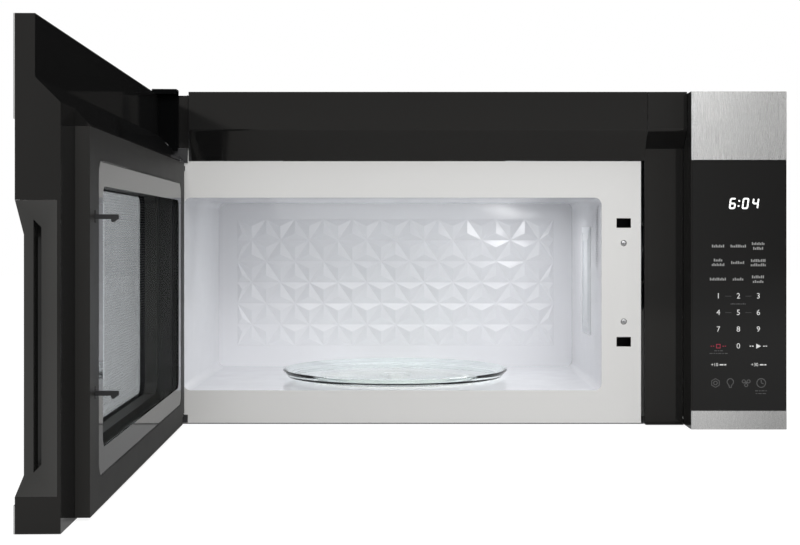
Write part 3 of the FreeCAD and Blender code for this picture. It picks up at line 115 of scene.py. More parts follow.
def stretched(tree, scale):
    coords = tree.nodes.new("ShaderNodeTexCoord")
    mapping = tree.nodes.new("ShaderNodeMapping")
    mapping.inputs["Scale"].default_value = scale
    tree.links.new(coords.outputs["Object"], mapping.inputs["Vector"])
    return mapping.outputs["Vector"]


def tinted(tree, colour, lift):
    scaled = tree.nodes.new("ShaderNodeVectorMath")
    scaled.operation = "SCALE"
    tree.links.new(colour, scaled.inputs[0])
    tree.links.new(lift, scaled.inputs["Scale"])
    return scaled.outputs[0]


def bumpNode(tree, height, strength, distance):
    bump = tree.nodes.new("ShaderNodeBump")
    bump.inputs["Distance"].default_value = distance
    tree.links.new(strength, bump.inputs["Strength"])
    tree.links.new(height, bump.inputs["Height"])
    return bump.outputs["Normal"]


# mottled: slight colour drift, uneven gloss and a fine texture, for moulded and painted pieces
mottledLook = {"broadScale": 9.0, "smearScale": 38.0, "smearDetail": 5.0, "smearMiddle": 0.45,
               "grainDetail": 2.0, "edgeFrom": 0.52, "edgeTo": 0.62, "bumpHigh": 0.0004}


def makeMottled():
    look = mottledLook
    tree, given, made = newGroup("mottled", [("Colour", "NodeSocketColor", (0.5, 0.5, 0.5, 1)),
                                             ("Drift", "NodeSocketFloat", 0.05),
                                             ("Roughness", "NodeSocketFloat", 0.3),
                                             ("Unevenness", "NodeSocketFloat", 0.05),
                                             ("Grain size", "NodeSocketFloat", 900.0),
                                             ("Grain depth", "NodeSocketFloat", 0.02),
                                             ("Edge lightening", "NodeSocketFloat", 0.1)],
                                 [("Colour", "NodeSocketColor"), ("Roughness", "NodeSocketFloat"),
                                  ("Normal", "NodeSocketVector")])
    place = stretched(tree, (1, 1, 1))
    broad = noiseNode(tree, place, look["broadScale"])
    smear = noiseNode(tree, place, look["smearScale"], look["smearDetail"])
    grain = noiseNode(tree, place, given.outputs["Grain size"], look["grainDetail"])
    shape = tree.nodes.new("ShaderNodeNewGeometry")
    # colour made lighter along sharp outer edges, where Pointiness is high
    edge = rampNode(tree, shape.outputs["Pointiness"], look["edgeFrom"], look["edgeTo"])
    lightening = mathNode(tree, "MULTIPLY", edge, given.outputs["Edge lightening"])
    tint = mathNode(tree, "MULTIPLY", mathNode(tree, "SUBTRACT", broad, 0.5), given.outputs["Drift"])
    lift = mathNode(tree, "ADD", mathNode(tree, "ADD", tint, lightening), 1.0)
    tree.links.new(tinted(tree, given.outputs["Colour"], lift), made.inputs["Colour"])
    spread = mathNode(tree, "MULTIPLY", mathNode(tree, "SUBTRACT", smear, look["smearMiddle"]),
                      given.outputs["Unevenness"])
    rough = mathNode(tree, "ADD", given.outputs["Roughness"], spread, clamp=True)
    tree.links.new(rough, made.inputs["Roughness"])
    normal = bumpNode(tree, grain, given.outputs["Grain depth"], look["bumpHigh"])
    tree.links.new(normal, made.inputs["Normal"])
    return tree


# brushed: fine parallel scratches along one direction of the sheet, and slow light and dark bands across X,
# a painted sheen that stands in for reflections in the colour
brushedLook = {"fineStretch": (900, 900, 9), "fineScale": 4.0, "fineDetail": 4.0, "fineRough": 0.6,
               "fineShare": 0.7, "wideStretch": (60, 60, 2), "wideScale": 3.0, "wideDetail": 2.0,
               "wideShare": 0.3, "paintedSheenEvery": 0.30, "paintedSheenAt": 0.25, "roughSpread": 0.2, "bumpHigh": 0.0002}


def makeBrushed():
    look = brushedLook
    tree, given, made = newGroup("brushed", [("Colour", "NodeSocketColor", (0.6, 0.6, 0.6, 1)),
                                             ("Streaks", "NodeSocketFloat", 0.12),
                                             ("Painted sheen", "NodeSocketFloat", 0.0),
                                             ("Roughness", "NodeSocketFloat", 0.32),
                                             ("Depth", "NodeSocketFloat", 0.06)],
                                 [("Colour", "NodeSocketColor"), ("Roughness", "NodeSocketFloat"),
                                  ("Normal", "NodeSocketVector")])
    fine = noiseNode(tree, stretched(tree, look["fineStretch"]), look["fineScale"], look["fineDetail"],
                     look["fineRough"])
    wide = noiseNode(tree, stretched(tree, look["wideStretch"]), look["wideScale"], look["wideDetail"])
    both = mathNode(tree, "ADD", mathNode(tree, "MULTIPLY", fine, look["fineShare"]),
                    mathNode(tree, "MULTIPLY", wide, look["wideShare"]))
    lift = mathNode(tree, "ADD", mathNode(tree, "MULTIPLY", mathNode(tree, "SUBTRACT", both, 0.5),
                                          given.outputs["Streaks"]), 1.0)
    # painted sheen: a cosine along Object X makes the colour lighter and darker in broad bands, a painted
    # reflection
    turnsPerMetre = 2 * math.pi / look["paintedSheenEvery"]
    across = tree.nodes.new("ShaderNodeSeparateXYZ")
    tree.links.new(stretched(tree, (turnsPerMetre, 1, 1)), across.inputs[0])
    paintedSheenWave = mathNode(tree, "COSINE", mathNode(tree, "SUBTRACT", across.outputs["X"],
                                             turnsPerMetre * look["paintedSheenAt"]))
    lift = mathNode(tree, "ADD", lift, mathNode(tree, "MULTIPLY", paintedSheenWave, given.outputs["Painted sheen"]))
    tree.links.new(tinted(tree, given.outputs["Colour"], lift), made.inputs["Colour"])
    rough = mathNode(tree, "ADD", given.outputs["Roughness"],
                     mathNode(tree, "MULTIPLY", mathNode(tree, "SUBTRACT", fine, 0.5),
                              look["roughSpread"]), clamp=True)
    tree.links.new(rough, made.inputs["Roughness"])
    normal = bumpNode(tree, fine, given.outputs["Depth"], look["bumpHigh"])
    tree.links.new(normal, made.inputs["Normal"])
    return tree


groups = {"mottled": makeMottled(), "brushed": makeBrushed()}
groupInputs = {"mottled": ("Drift", "Roughness", "Unevenness", "Grain size", "Grain depth", "Edge lightening"),
               "brushed": ("Streaks", "Painted sheen", "Roughness", "Depth")}


def rgba(red, green, blue):
    return (red, green, blue, 1.0)


def makeMaterial(name, group, colour, settings, shaderValues):
    material = bpy.data.materials.new(name)
    material.use_nodes = True
    tree = material.node_tree
    shader = tree.nodes["Principled BSDF"]
    shared = tree.nodes.new("ShaderNodeGroup")
    shared.node_tree = groups[group]
    shared.inputs["Colour"].default_value = rgba(*colour)
    for label, value in zip(groupInputs[group], settings):
        shared.inputs[label].default_value = value
    tree.links.new(shared.outputs["Colour"], shader.inputs["Base Color"])
    tree.links.new(shared.outputs["Roughness"], shader.inputs["Roughness"])
    tree.links.new(shared.outputs["Normal"], shader.inputs["Normal"])
    for label, value in shaderValues.items():
        shader.inputs[label].default_value = value
    return material


# each finish: its group, its colour, the group's inputs in their order, and what is the same all over
finishes = {
    "glossBlack": ("mottled", (0.005, 0.005, 0.005), (0.2, 0.07, 0.03, 700.0, 0.006, 0.6),
                   {"IOR": 1.5, "Specular Tint": rgba(1.0, 0.965, 0.91)}),
    "handleBlack": ("mottled", (0.030, 0.0295, 0.028), (0.1, 0.12, 0.05, 700.0, 0.006, 0.4), {"IOR": 1.5}),
    "innerBlack": ("mottled", (0.017, 0.0165, 0.0155), (0.1, 0.5, 0.05, 900.0, 0.01, 0.5), {"IOR": 1.25}),
    "capBlack": ("mottled", (0.0010, 0.0011, 0.0012), (0.2, 0.3, 0.05, 900.0, 0.02, 1.0), {"IOR": 1.1}),
    "satinBlack": ("mottled", (0.02, 0.02, 0.021), (0.15, 0.42, 0.12, 1600.0, 0.12, 1.2), {"IOR": 1.5}),
    "mattBlack": ("mottled", (0.014, 0.014, 0.015), (0.2, 0.55, 0.1, 2000.0, 0.15, 0.4), {"IOR": 1.46}),
    "panelGlass": ("mottled", (0.0095, 0.0093, 0.009), (0.1, 0.09, 0.04, 500.0, 0.004, 0.2), {"IOR": 1.38}),
    "frameEnamel": ("mottled", (0.71, 0.706, 0.694), (0.02, 0.2, 0.06, 420.0, 0.03, 0.02), {"IOR": 1.5}),
    "cavityEnamel": ("mottled", (0.755, 0.76, 0.785), (0.02, 0.16, 0.06, 420.0, 0.03, 0.02), {"IOR": 1.52}),
    "whitePlastic": ("mottled", (0.72, 0.72, 0.70), (0.05, 0.4, 0.1, 1500.0, 0.06, 0.03), {"IOR": 1.46}),
    "mica": ("mottled", (0.66, 0.68, 0.70), (0.1, 0.45, 0.15, 260.0, 0.08, 0.05), {"IOR": 1.5}),
    "zincSheet": ("mottled", (0.5, 0.51, 0.53), (0.35, 0.38, 0.35, 150.0, 0.05, 0.3), {"Metallic": 1.0}),
    "castAluminium": ("mottled", (0.66, 0.67, 0.68), (0.15, 0.35, 0.2, 900.0, 0.1, 0.2), {"Metallic": 1.0}),
    "coreSteel": ("mottled", (0.10, 0.10, 0.105), (0.3, 0.45, 0.2, 700.0, 0.1, 0.5), {"Metallic": 0.6}),
    "greyEnamel": ("mottled", (0.16, 0.16, 0.165), (0.1, 0.4, 0.12, 1200.0, 0.1, 0.4), {"IOR": 1.5}),
    "boardGreen": ("mottled", (0.02, 0.10, 0.04), (0.3, 0.35, 0.1, 350.0, 0.1, 0.2), {"IOR": 1.5}),
    "charcoal": ("mottled", (0.025, 0.025, 0.026), (0.6, 0.8, 0.2, 260.0, 0.9, 0.3), {"IOR": 1.45}),
    "rubber": ("mottled", (0.015, 0.015, 0.015), (0.2, 0.65, 0.1, 1800.0, 0.1, 0.3), {"IOR": 1.5}),
    "zincScrew": ("mottled", (0.55, 0.55, 0.56), (0.2, 0.3, 0.2, 800.0, 0.05, 0.2), {"Metallic": 1.0}),
    # stainless: a painted sheen of 0.24 puts broad light and dark reflection bands into its colour
    "stainless": ("brushed", (0.82, 0.817, 0.81), (0.16, 0.24, 0.26, 0.03), {"Metallic": 1.0}),
    "filterMesh": ("brushed", (0.62, 0.63, 0.64), (0.3, 0.0, 0.4, 0.2), {"Metallic": 1.0}),
    "smokedGlass": ("mottled", (0.80, 0.81, 0.83), (0.05, 0.01, 0.01, 300.0, 0.0, 0.0),
                    {"IOR": 1.5, "Transmission Weight": 1.0}),
    "hingeSteel": ("mottled", (0.012, 0.012, 0.0125), (0.3, 0.3, 0.2, 700.0, 0.05, 2.0), {"IOR": 1.5}),
    "borderBlack": ("mottled", (0.004, 0.004, 0.004), (0.1, 0.06, 0.03, 400.0, 0.01, 1.0), {"IOR": 1.5}),
    "screenBlack": ("mottled", (0.02, 0.02, 0.021), (0.1, 0.35, 0.1, 900.0, 0.05, 0.2), {"IOR": 1.5}),
    "printWhite": ("mottled", (0.74, 0.74, 0.73), (0.05, 0.5, 0.1, 2500.0, 0.05, 0.0), {"IOR": 1.45}),
    "holeShade": ("mottled", (0.30, 0.31, 0.33), (0.1, 0.6, 0.1, 900.0, 0.02, 0.0), {"IOR": 1.45}),
    "printDim": ("mottled", (0.30, 0.30, 0.295), (0.05, 0.5, 0.1, 2500.0, 0.05, 0.0), {"IOR": 1.45}),
    "printGrey": ("mottled", (0.085, 0.085, 0.085), (0.05, 0.5, 0.1, 2500.0, 0.05, 0.0), {"IOR": 1.45}),
    "printRed": ("mottled", (0.36, 0.02, 0.05), (0.05, 0.5, 0.1, 2500.0, 0.05, 0.0), {"IOR": 1.45}),
    "segmentGlow": ("mottled", (0.8, 0.8, 0.8), (0.05, 0.4, 0.1, 1200.0, 0.02, 0.0),
                    {"Emission Color": rgba(1.0, 1.0, 0.98), "Emission Strength": 1.1}),
    "clearPane": ("mottled", (0.86, 0.89, 0.89), (0.02, 0.02, 0.01, 300.0, 0.0, 0.0),
                  {"IOR": 1.005, "Transmission Weight": 1.0}),
    "trayGlass": ("mottled", (0.93, 0.975, 0.96), (0.02, 0.03, 0.01, 60.0, 0.02, 0.0),
                  {"IOR": 1.22, "Transmission Weight": 1.0}),
    "lampLens": ("mottled", (0.9, 0.9, 0.88), (0.02, 0.15, 0.05, 120.0, 0.3, 0.0),
                 {"IOR": 1.5, "Transmission Weight": 0.8}),
}
materials = {name: makeMaterial(name, *recipe) for name, recipe in finishes.items()}


# light passes through the glass pieces instead of stopping at them, so they throw no dark shadow
def letLightThrough(material, share):
    tree = material.node_tree
    shader = tree.nodes["Principled BSDF"]
    path = tree.nodes.new("ShaderNodeLightPath")
    clear = tree.nodes.new("ShaderNodeBsdfTransparent")
    both = tree.nodes.new("ShaderNodeMixShader")
    tree.links.new(mathNode(tree, "MULTIPLY", path.outputs["Is Shadow Ray"], share), both.inputs["Fac"])
    tree.links.new(shader.outputs[0], both.inputs[1])
    tree.links.new(clear.outputs[0], both.inputs[2])
    tree.links.new(both.outputs[0], tree.nodes["Material Output"].inputs["Surface"])


passing = {"clearPane": 0.9, "trayGlass": 0.92, "smokedGlass": 0.4, "lampLens": 0.8}
for glassName, share in passing.items():
    letLightThrough(materials[glassName], share)

nodeFinish = {
    "glossBlack": ["vent_trim", "column_trim", "control_panel_frame", "door_frame", "hinge_cover"],
    "handleBlack": ["door_handle"],
    "capBlack": ["hinge_cap"],
    "innerBlack": ["choke_frame"],
    "satinBlack": ["outer_case"],
    "mattBlack": ["display_module", "latch_hooks", "latch_board", "interlock_switches", "hv_diode",
                  "door_screen"],
    "panelGlass": ["touch_glass"],
    "frameEnamel": ["front_frame"],
    "cavityEnamel": ["cavity_liner", "cavity_back"],
    "whitePlastic": ["roller_ring", "roller_wheel_1", "roller_wheel_2", "roller_wheel_3",
                     "turntable_coupler", "cooling_fan_shroud", "cooling_fan_blade"],
    "mica": ["waveguide_cover"],
    "zincSheet": ["back_plate", "waveguide", "blower_housing", "blower_wheels", "cavity_lamp"],
    "hingeSteel": ["upper_hinge_bracket", "lower_hinge_bracket"],
    "castAluminium": ["magnetron", "capacitor", "cooktop_lamps"],
    "coreSteel": ["power_transformer", "cooling_fan_motor", "blower_motor", "turntable_motor"],
    "greyEnamel": ["base_plate"],
    "boardGreen": ["control_board", "line_filter_board"],
    "charcoal": ["charcoal_filter"],
    "rubber": ["cord_gland"],
    "zincScrew": ["frame_screws", "hinge_pins"],
    "stainless": ["panel_top_band", "panel_low_band", "door_top_band", "door_low_band"],
    "filterMesh": ["grease_filter_left", "grease_filter_right"],
    "smokedGlass": ["door_glass"],
    "clearPane": ["inner_window"],
    "trayGlass": ["glass_tray"],
    "lampLens": ["cooktop_lamp_lenses"],
}
for finishName, nodeNames in nodeFinish.items():
    for nodeName in nodeNames:
        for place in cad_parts[nodeName].material_slots:
            place.material = materials[finishName]
print("materials on nodes:", sum(len(names) for names in nodeFinish.values()))


# drawing tools
def linkObject(name, mesh, finishName=None):
    made = bpy.data.objects.new(name, mesh)
    bpy.context.collection.objects.link(made)
    if finishName:
        mesh.materials.clear()
        mesh.materials.append(materials[finishName])
    return made


def stroke(start, end, thick):
    run = (Vector(end) - Vector(start)).normalized()
    side = Vector((-run.y, run.x)) * thick / 2
    tip = run * thick * 0.25
    a, b = Vector(start) - tip, Vector(end) + tip
    return [a + side, b + side, b + tip, b - side, a - side, a - tip]


def ring(centre, radius, thick, corners, start=0.0, sweep=360.0):
    quads = []
    steps = max(3, round(corners * sweep / 360))
    for step in range(steps):
        angles = [math.radians(start + sweep * (step + k) / steps) for k in (0, 1)]
        quads.append([Vector((centre[0] + r * math.cos(a), centre[1] + r * math.sin(a)))
                      for r, a in ((radius - thick / 2, angles[0]), (radius + thick / 2, angles[0]),
                                   (radius + thick / 2, angles[1]), (radius - thick / 2, angles[1]))])
    return quads


def newGrower(name, inputs):
    tree = bpy.data.node_groups.new(name, "GeometryNodeTree")
    tree.interface.new_socket(name="Geometry", in_out="INPUT", socket_type="NodeSocketGeometry")
    for label, kind in inputs:
        tree.interface.new_socket(name=label, in_out="INPUT", socket_type="NodeSocket" + kind)
    tree.interface.new_socket(name="Geometry", in_out="OUTPUT", socket_type="NodeSocketGeometry")
    return tree, tree.nodes.new("NodeGroupInput").outputs


# a copy of one shape on every point, made real and painted
def plantShape(tree, given, points, shape, scale=None):
    placed = tree.nodes.new("GeometryNodeInstanceOnPoints")
    tree.links.new(points, placed.inputs["Points"])
    tree.links.new(shape, placed.inputs["Instance"])
    if scale is not None:
        tree.links.new(scale, placed.inputs["Scale"])
    real = tree.nodes.new("GeometryNodeRealizeInstances")
    tree.links.new(placed.outputs[0], real.inputs[0])
    painted = tree.nodes.new("GeometryNodeSetMaterial")
    tree.links.new(real.outputs[0], painted.inputs["Geometry"])
    tree.links.new(given["Material"], painted.inputs["Material"])
    tree.links.new(painted.outputs[0], tree.nodes.new("NodeGroupOutput").inputs["Geometry"])


# a flat hexagonal ring on every point of a staggered grid, for the screen and the grease filters
def makeRingGrid():
    tree, given = newGrower("ringGrid", (
        ("Wide", "Float"), ("Tall", "Float"), ("Columns", "Int"), ("Rows", "Int"), ("Ring radius", "Float"),
        ("Ring width", "Float"), ("Flatten", "Float"), ("Material", "Material")))
    grid = tree.nodes.new("GeometryNodeMeshGrid")
    for label, source in (("Size X", "Wide"), ("Size Y", "Tall"),
                          ("Vertices X", "Columns"), ("Vertices Y", "Rows")):
        tree.links.new(given[source], grid.inputs[label])
    # every second row moves by half a step
    spot = tree.nodes.new("GeometryNodeInputPosition")
    apart = tree.nodes.new("ShaderNodeSeparateXYZ")
    tree.links.new(spot.outputs[0], apart.inputs[0])
    gaps = mathNode(tree, "SUBTRACT", given["Rows"], 1.0)
    share = mathNode(tree, "ADD", mathNode(tree, "DIVIDE", apart.outputs["Y"], given["Tall"]), 0.5)
    row = mathNode(tree, "ROUND", mathNode(tree, "MULTIPLY", share, gaps))
    odd = mathNode(tree, "MODULO", row, 2.0)
    stepWide = mathNode(tree, "DIVIDE", given["Wide"], mathNode(tree, "SUBTRACT", given["Columns"], 1.0))
    shift = mathNode(tree, "MULTIPLY", mathNode(tree, "MULTIPLY", odd, stepWide), 0.5)
    moved = tree.nodes.new("GeometryNodeSetPosition")
    tree.links.new(grid.outputs["Mesh"], moved.inputs["Geometry"])
    tree.links.new(vectorNode(tree, shift), moved.inputs["Offset"])
    # the ring: six corners, one of them pointing up, with a flat band along the edge
    circle = tree.nodes.new("GeometryNodeCurvePrimitiveCircle")
    circle.inputs["Resolution"].default_value = 6
    tree.links.new(given["Ring radius"], circle.inputs["Radius"])
    turned = tree.nodes.new("GeometryNodeTransform")
    turned.inputs["Rotation"].default_value = (0, 0, math.radians(30))
    tree.links.new(circle.outputs[0], turned.inputs["Geometry"])
    halfWidth = mathNode(tree, "MULTIPLY", given["Ring width"], 0.5)
    edge = tree.nodes.new("GeometryNodeCurvePrimitiveLine")
    for label, sign in (("Start", -1.0), ("End", 1.0)):
        tree.links.new(vectorNode(tree, mathNode(tree, "MULTIPLY", halfWidth, sign)), edge.inputs[label])
    ringShape = tree.nodes.new("GeometryNodeCurveToMesh")
    tree.links.new(turned.outputs[0], ringShape.inputs["Curve"])
    tree.links.new(edge.outputs[0], ringShape.inputs["Profile Curve"])
    squash = vectorNode(tree, 1.0, given["Flatten"], 1.0)
    plantShape(tree, given, moved.outputs[0], ringShape.outputs[0], squash)
    return tree


# runs a tree on an empty mesh and hands back the plain mesh it makes
def grownMesh(name, tree, values):
    start = bpy.data.meshes.new(name + "_start")
    holder = bpy.data.objects.new(name + "_start", start)
    bpy.context.collection.objects.link(holder)
    modifier = holder.modifiers.new("grow", "NODES")
    modifier.node_group = tree
    for item in tree.interface.items_tree:
        if item.in_out == "INPUT" and item.name in values:
            modifier[item.identifier] = values[item.name]
    seenNow = bpy.context.evaluated_depsgraph_get()
    mesh = bpy.data.meshes.new_from_object(holder.evaluated_get(seenNow))
    mesh.name = name
    holder.modifiers.clear()
    bpy.data.objects.remove(holder)
    bpy.data.meshes.remove(start)
    return mesh


def roundedOutline(x0, z0, x1, z1, radius, steps=6):
    points = []
    corners = ((x1 - radius, z1 - radius, 0), (x0 + radius, z1 - radius, 90),
               (x0 + radius, z0 + radius, 180), (x1 - radius, z0 + radius, 270))
    for x, z, start in corners:
        for step in range(steps + 1):
            angle = math.radians(start + 90 * step / steps)
            points.append((x + radius * math.cos(angle), z + radius * math.sin(angle)))
    return points


def meshFrom(name, shape, mended=True):
    if mended:
        bmesh.ops.recalc_face_normals(shape, faces=shape.faces)
    mesh = bpy.data.meshes.new(name)
    shape.to_mesh(mesh)
    shape.free()
    return mesh


# a flat frame between two outlines with as many points each, from yFront to yBack
def frameBetween(name, outer, inner, yFront, yBack):
    shape = bmesh.new()
    rows = [[shape.verts.new((x, y, z)) for x, z in outline]
            for outline, y in ((outer, yFront), (inner, yFront), (inner, yBack), (outer, yBack))]
    count = len(outer)
    for k in range(4):
        for i in range(count):
            j = (i + 1) % count
            shape.faces.new((rows[k][i], rows[k][j], rows[(k + 1) % 4][j], rows[(k + 1) % 4][i]))
    return meshFrom(name, shape)


def plate(name, outline, yFront, yBack):
    shape = bmesh.new()
    rows = [[shape.verts.new((x, y, z)) for x, z in outline] for y in (yFront, yBack)]
    shape.faces.new(rows[0])
    shape.faces.new(rows[1])
    for i in range(len(outline)):
        j = (i + 1) % len(outline)
        shape.faces.new((rows[0][i], rows[0][j], rows[1][j], rows[1][i]))
    return meshFrom(name, shape)


# what is drawn on the shut door turns with it to where the door stands at rest
def hangOnDoor(mesh):
    pivot = Vector((doorSwing["pivotX"], doorSwing["pivotY"], 0))
    turn = Matrix.Rotation(math.radians(doorSwing["degrees"]), 4, "Z")
    mesh.transform(Matrix.Translation(pivot) @ turn @ Matrix.Translation(-pivot))
    return mesh


# inner window of the door: a black border round a clear pane
window = {"left": -0.3376, "right": 0.1740, "low": -0.1768, "high": 0.0948, "corner": 0.0138,
          "front": -0.3531, "back": -0.3506, "borderNear": 0.019, "borderFar": 0.020, "borderTop": 0.022,
          "borderLow": 0.023, "holeCorner": 0.010, "paneStep": 0.0006}
outerLine = roundedOutline(window["left"], window["low"], window["right"], window["high"], window["corner"])
holeSides = (window["left"] + window["borderFar"], window["low"] + window["borderLow"],
             window["right"] - window["borderNear"], window["high"] - window["borderTop"])
holeLine = roundedOutline(*holeSides, window["holeCorner"])
borderMesh = frameBetween("window_border", outerLine, holeLine, window["front"], window["back"])
border = linkObject("window_border", hangOnDoor(borderMesh), "borderBlack")
paneMesh = plate("window_pane", holeLine, window["front"] + window["paneStep"],
                 window["back"] - window["paneStep"])
pane = linkObject("window_pane", hangOnDoor(paneMesh), "clearPane")
for piece in (border, pane):
    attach(piece, "door")
    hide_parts("inner_window")

# black rubber lip that holds the border in its seat
gasket = {"wide": 0.0016, "proud": 0.0004}
lipLine = roundedOutline(window["left"] + gasket["wide"], window["low"] + gasket["wide"],
                         window["right"] - gasket["wide"], window["high"] - gasket["wide"],
                         window["corner"] - gasket["wide"])
lipMesh = frameBetween("window_gasket", outerLine, lipLine, window["back"] - gasket["proud"], window["back"])
lip = linkObject("window_gasket", hangOnDoor(lipMesh), "rubber")
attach(lip, "door")

# black print on the back of the door glass leaves only the window clear
maskPrint = {"left": -0.3775, "right": 0.2608, "low": -0.1818, "high": 0.1213, "y": -0.39560,
             "notchLeft": 0.2215, "notchLow": -0.1762, "notchHigh": 0.0585,
             "window": (-0.3060, -0.1580, 0.1426, 0.0760), "corner": 0.012}
maskLine = [(maskPrint[across], maskPrint[up]) for across, up in (
    ("left", "low"), ("right", "low"), ("right", "notchLow"), ("notchLeft", "notchLow"),
    ("notchLeft", "notchHigh"), ("right", "notchHigh"), ("right", "high"), ("left", "high"))]
maskShape = bmesh.new()
maskEdges = []
for outline in (maskLine, roundedOutline(*maskPrint["window"], maskPrint["corner"])):
    corners = [maskShape.verts.new((x, maskPrint["y"], z)) for x, z in outline]
    maskEdges += [maskShape.edges.new(pair) for pair in zip(corners, corners[1:] + corners[:1])]
bmesh.ops.triangle_fill(maskShape, edges=maskEdges, use_beauty=True, normal=(0, -1, 0))
maskMesh = meshFrom("glass_print", maskShape, mended=False)
mask = linkObject("glass_print", hangOnDoor(maskMesh), "mattBlack")
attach(mask, "door")

# the screen: a lace of hexagonal holes inside a plain rim
screen = {"left": -0.3198, "right": 0.1562, "low": -0.1665, "high": 0.0845, "y": -0.3904, "thick": 0.0008,
          "margin": 0.008, "step": 0.0034, "open": 0.86, "corner": 0.004}
rowShare = math.sqrt(3) / 2  # height of a row in a hexagonal field, as a share of its step
screenStep = screen["step"]
cell = screenStep / math.sqrt(3)
holeEdge = cell * screen["open"]
columns = int((screen["right"] - screen["left"] - 2 * screen["margin"]) / screenStep)
rows = int((screen["high"] - screen["low"] - 2 * screen["margin"]) / (screenStep * rowShare)) + 1
ringGrid = makeRingGrid()
lace = grownMesh("screen_holes", ringGrid, {
    "Wide": (columns - 1) * screenStep, "Tall": (rows - 1) * screenStep * rowShare,
    "Columns": columns, "Rows": rows, "Ring radius": (cell + holeEdge) / 2, "Ring width": cell - holeEdge,
    "Flatten": 1.0, "Material": materials["screenBlack"]})
middle = ((screen["left"] + screen["right"]) / 2 - screenStep / 4, screen["y"],
          (screen["low"] + screen["high"]) / 2)
lace.transform(Matrix.Translation(middle) @ Matrix.Rotation(math.radians(90), 4, "X"))
perforated = linkObject("screen_holes", hangOnDoor(lace))
rim = screen["margin"] - screenStep
rimOuter = roundedOutline(screen["left"], screen["low"], screen["right"], screen["high"], screen["corner"])
rimInner = roundedOutline(screen["left"] + rim, screen["low"] + rim, screen["right"] - rim,
                          screen["high"] - rim, screen["corner"])
rimMesh = frameBetween("screen_rim", rimOuter, rimInner, screen["y"] - screen["thick"] / 2,
                       screen["y"] + screen["thick"] / 2)
screenRim = linkObject("screen_rim", hangOnDoor(rimMesh), "screenBlack")
for piece in (perforated, screenRim):
    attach(piece, "door")
    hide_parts("door_screen")
print("door window and screen made:", len(lace.polygons), "faces in the screen")


# a row of pan heads with a cross recess, growing towards +Z
headShape = {"segments": 24, "rings": 12, "slotLong": 1.1, "slotWide": 0.24, "slotDeep": 1.2}


def makeScrewRow():
    tree, given = newGrower("screwRow", (("Count", "Int"), ("Start", "Vector"), ("Step", "Vector"),
                                         ("Radius", "Float"), ("Height", "Float"), ("Material", "Material")))
    row = tree.nodes.new("GeometryNodeMeshLine")
    tree.links.new(given["Count"], row.inputs["Count"])
    tree.links.new(given["Start"], row.inputs["Start Location"])
    tree.links.new(given["Step"], row.inputs["Offset"])
    # dome: a ball flattened to the head's height, with its lower half sunk in the seat
    ball = tree.nodes.new("GeometryNodeMeshUVSphere")
    ball.inputs["Segments"].default_value = headShape["segments"]
    ball.inputs["Rings"].default_value = headShape["rings"]
    tree.links.new(given["Radius"], ball.inputs["Radius"])
    flat = vectorNode(tree, 1.0, 1.0, mathNode(tree, "DIVIDE", given["Height"], given["Radius"]))
    dome = tree.nodes.new("GeometryNodeTransform")
    tree.links.new(ball.outputs["Mesh"], dome.inputs["Geometry"])
    tree.links.new(flat, dome.inputs["Scale"])
    cut = tree.nodes.new("GeometryNodeMeshBoolean")
    cut.operation = "DIFFERENCE"
    tree.links.new(dome.outputs[0], cut.inputs["Mesh 1"])
    for wide, deep in ((headShape["slotLong"], headShape["slotWide"]),
                       (headShape["slotWide"], headShape["slotLong"])):
        block = tree.nodes.new("GeometryNodeMeshCube")
        tree.links.new(vectorNode(tree, mathNode(tree, "MULTIPLY", given["Radius"], wide),
                                  mathNode(tree, "MULTIPLY", given["Radius"], deep),
                                  mathNode(tree, "MULTIPLY", given["Height"], headShape["slotDeep"])),
                       block.inputs["Size"])
        lifted = tree.nodes.new("GeometryNodeTransform")
        tree.links.new(block.outputs["Mesh"], lifted.inputs["Geometry"])
        tree.links.new(vectorNode(tree, z=given["Height"]), lifted.inputs["Translation"])
        tree.links.new(lifted.outputs[0], cut.inputs["Mesh 2"])
    plantShape(tree, given, row.outputs["Mesh"], cut.outputs["Mesh"])
    return tree


screws = {"frameX": 0.1895, "frameZ": (-0.0773, 0.0206), "frameY": -0.3485, "frameRadius": 0.0037,
          "frameHigh": 0.0018, "topCount": 5, "topStart": (-0.340, -0.012, 0.2050), "topStep": (0.170, 0, 0),
          "topRadius": 0.0042, "topHigh": 0.0018}
screwRow = makeScrewRow()
low, high = screws["frameZ"]
pair = grownMesh("frame_screw_heads", screwRow, {
    "Count": 2, "Start": (screws["frameX"], low, 0.0), "Step": (0.0, high - low, 0.0),
    "Radius": screws["frameRadius"], "Height": screws["frameHigh"], "Material": materials["zincScrew"]})
pair.transform(Matrix.Translation((0, screws["frameY"], 0)) @ Matrix.Rotation(math.radians(90), 4, "X"))
heads = linkObject("frame_screw_heads", pair)
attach(heads, "housing")
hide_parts("frame_screws")
topRow = linkObject("case_top_screws", grownMesh("case_top_screws", screwRow, {
    "Count": screws["topCount"], "Start": screws["topStart"], "Step": screws["topStep"],
    "Radius": screws["topRadius"], "Height": screws["topHigh"], "Material": materials["zincScrew"]}))
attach(topRow, "housing")
print("screws made:", 2 + screws["topCount"])


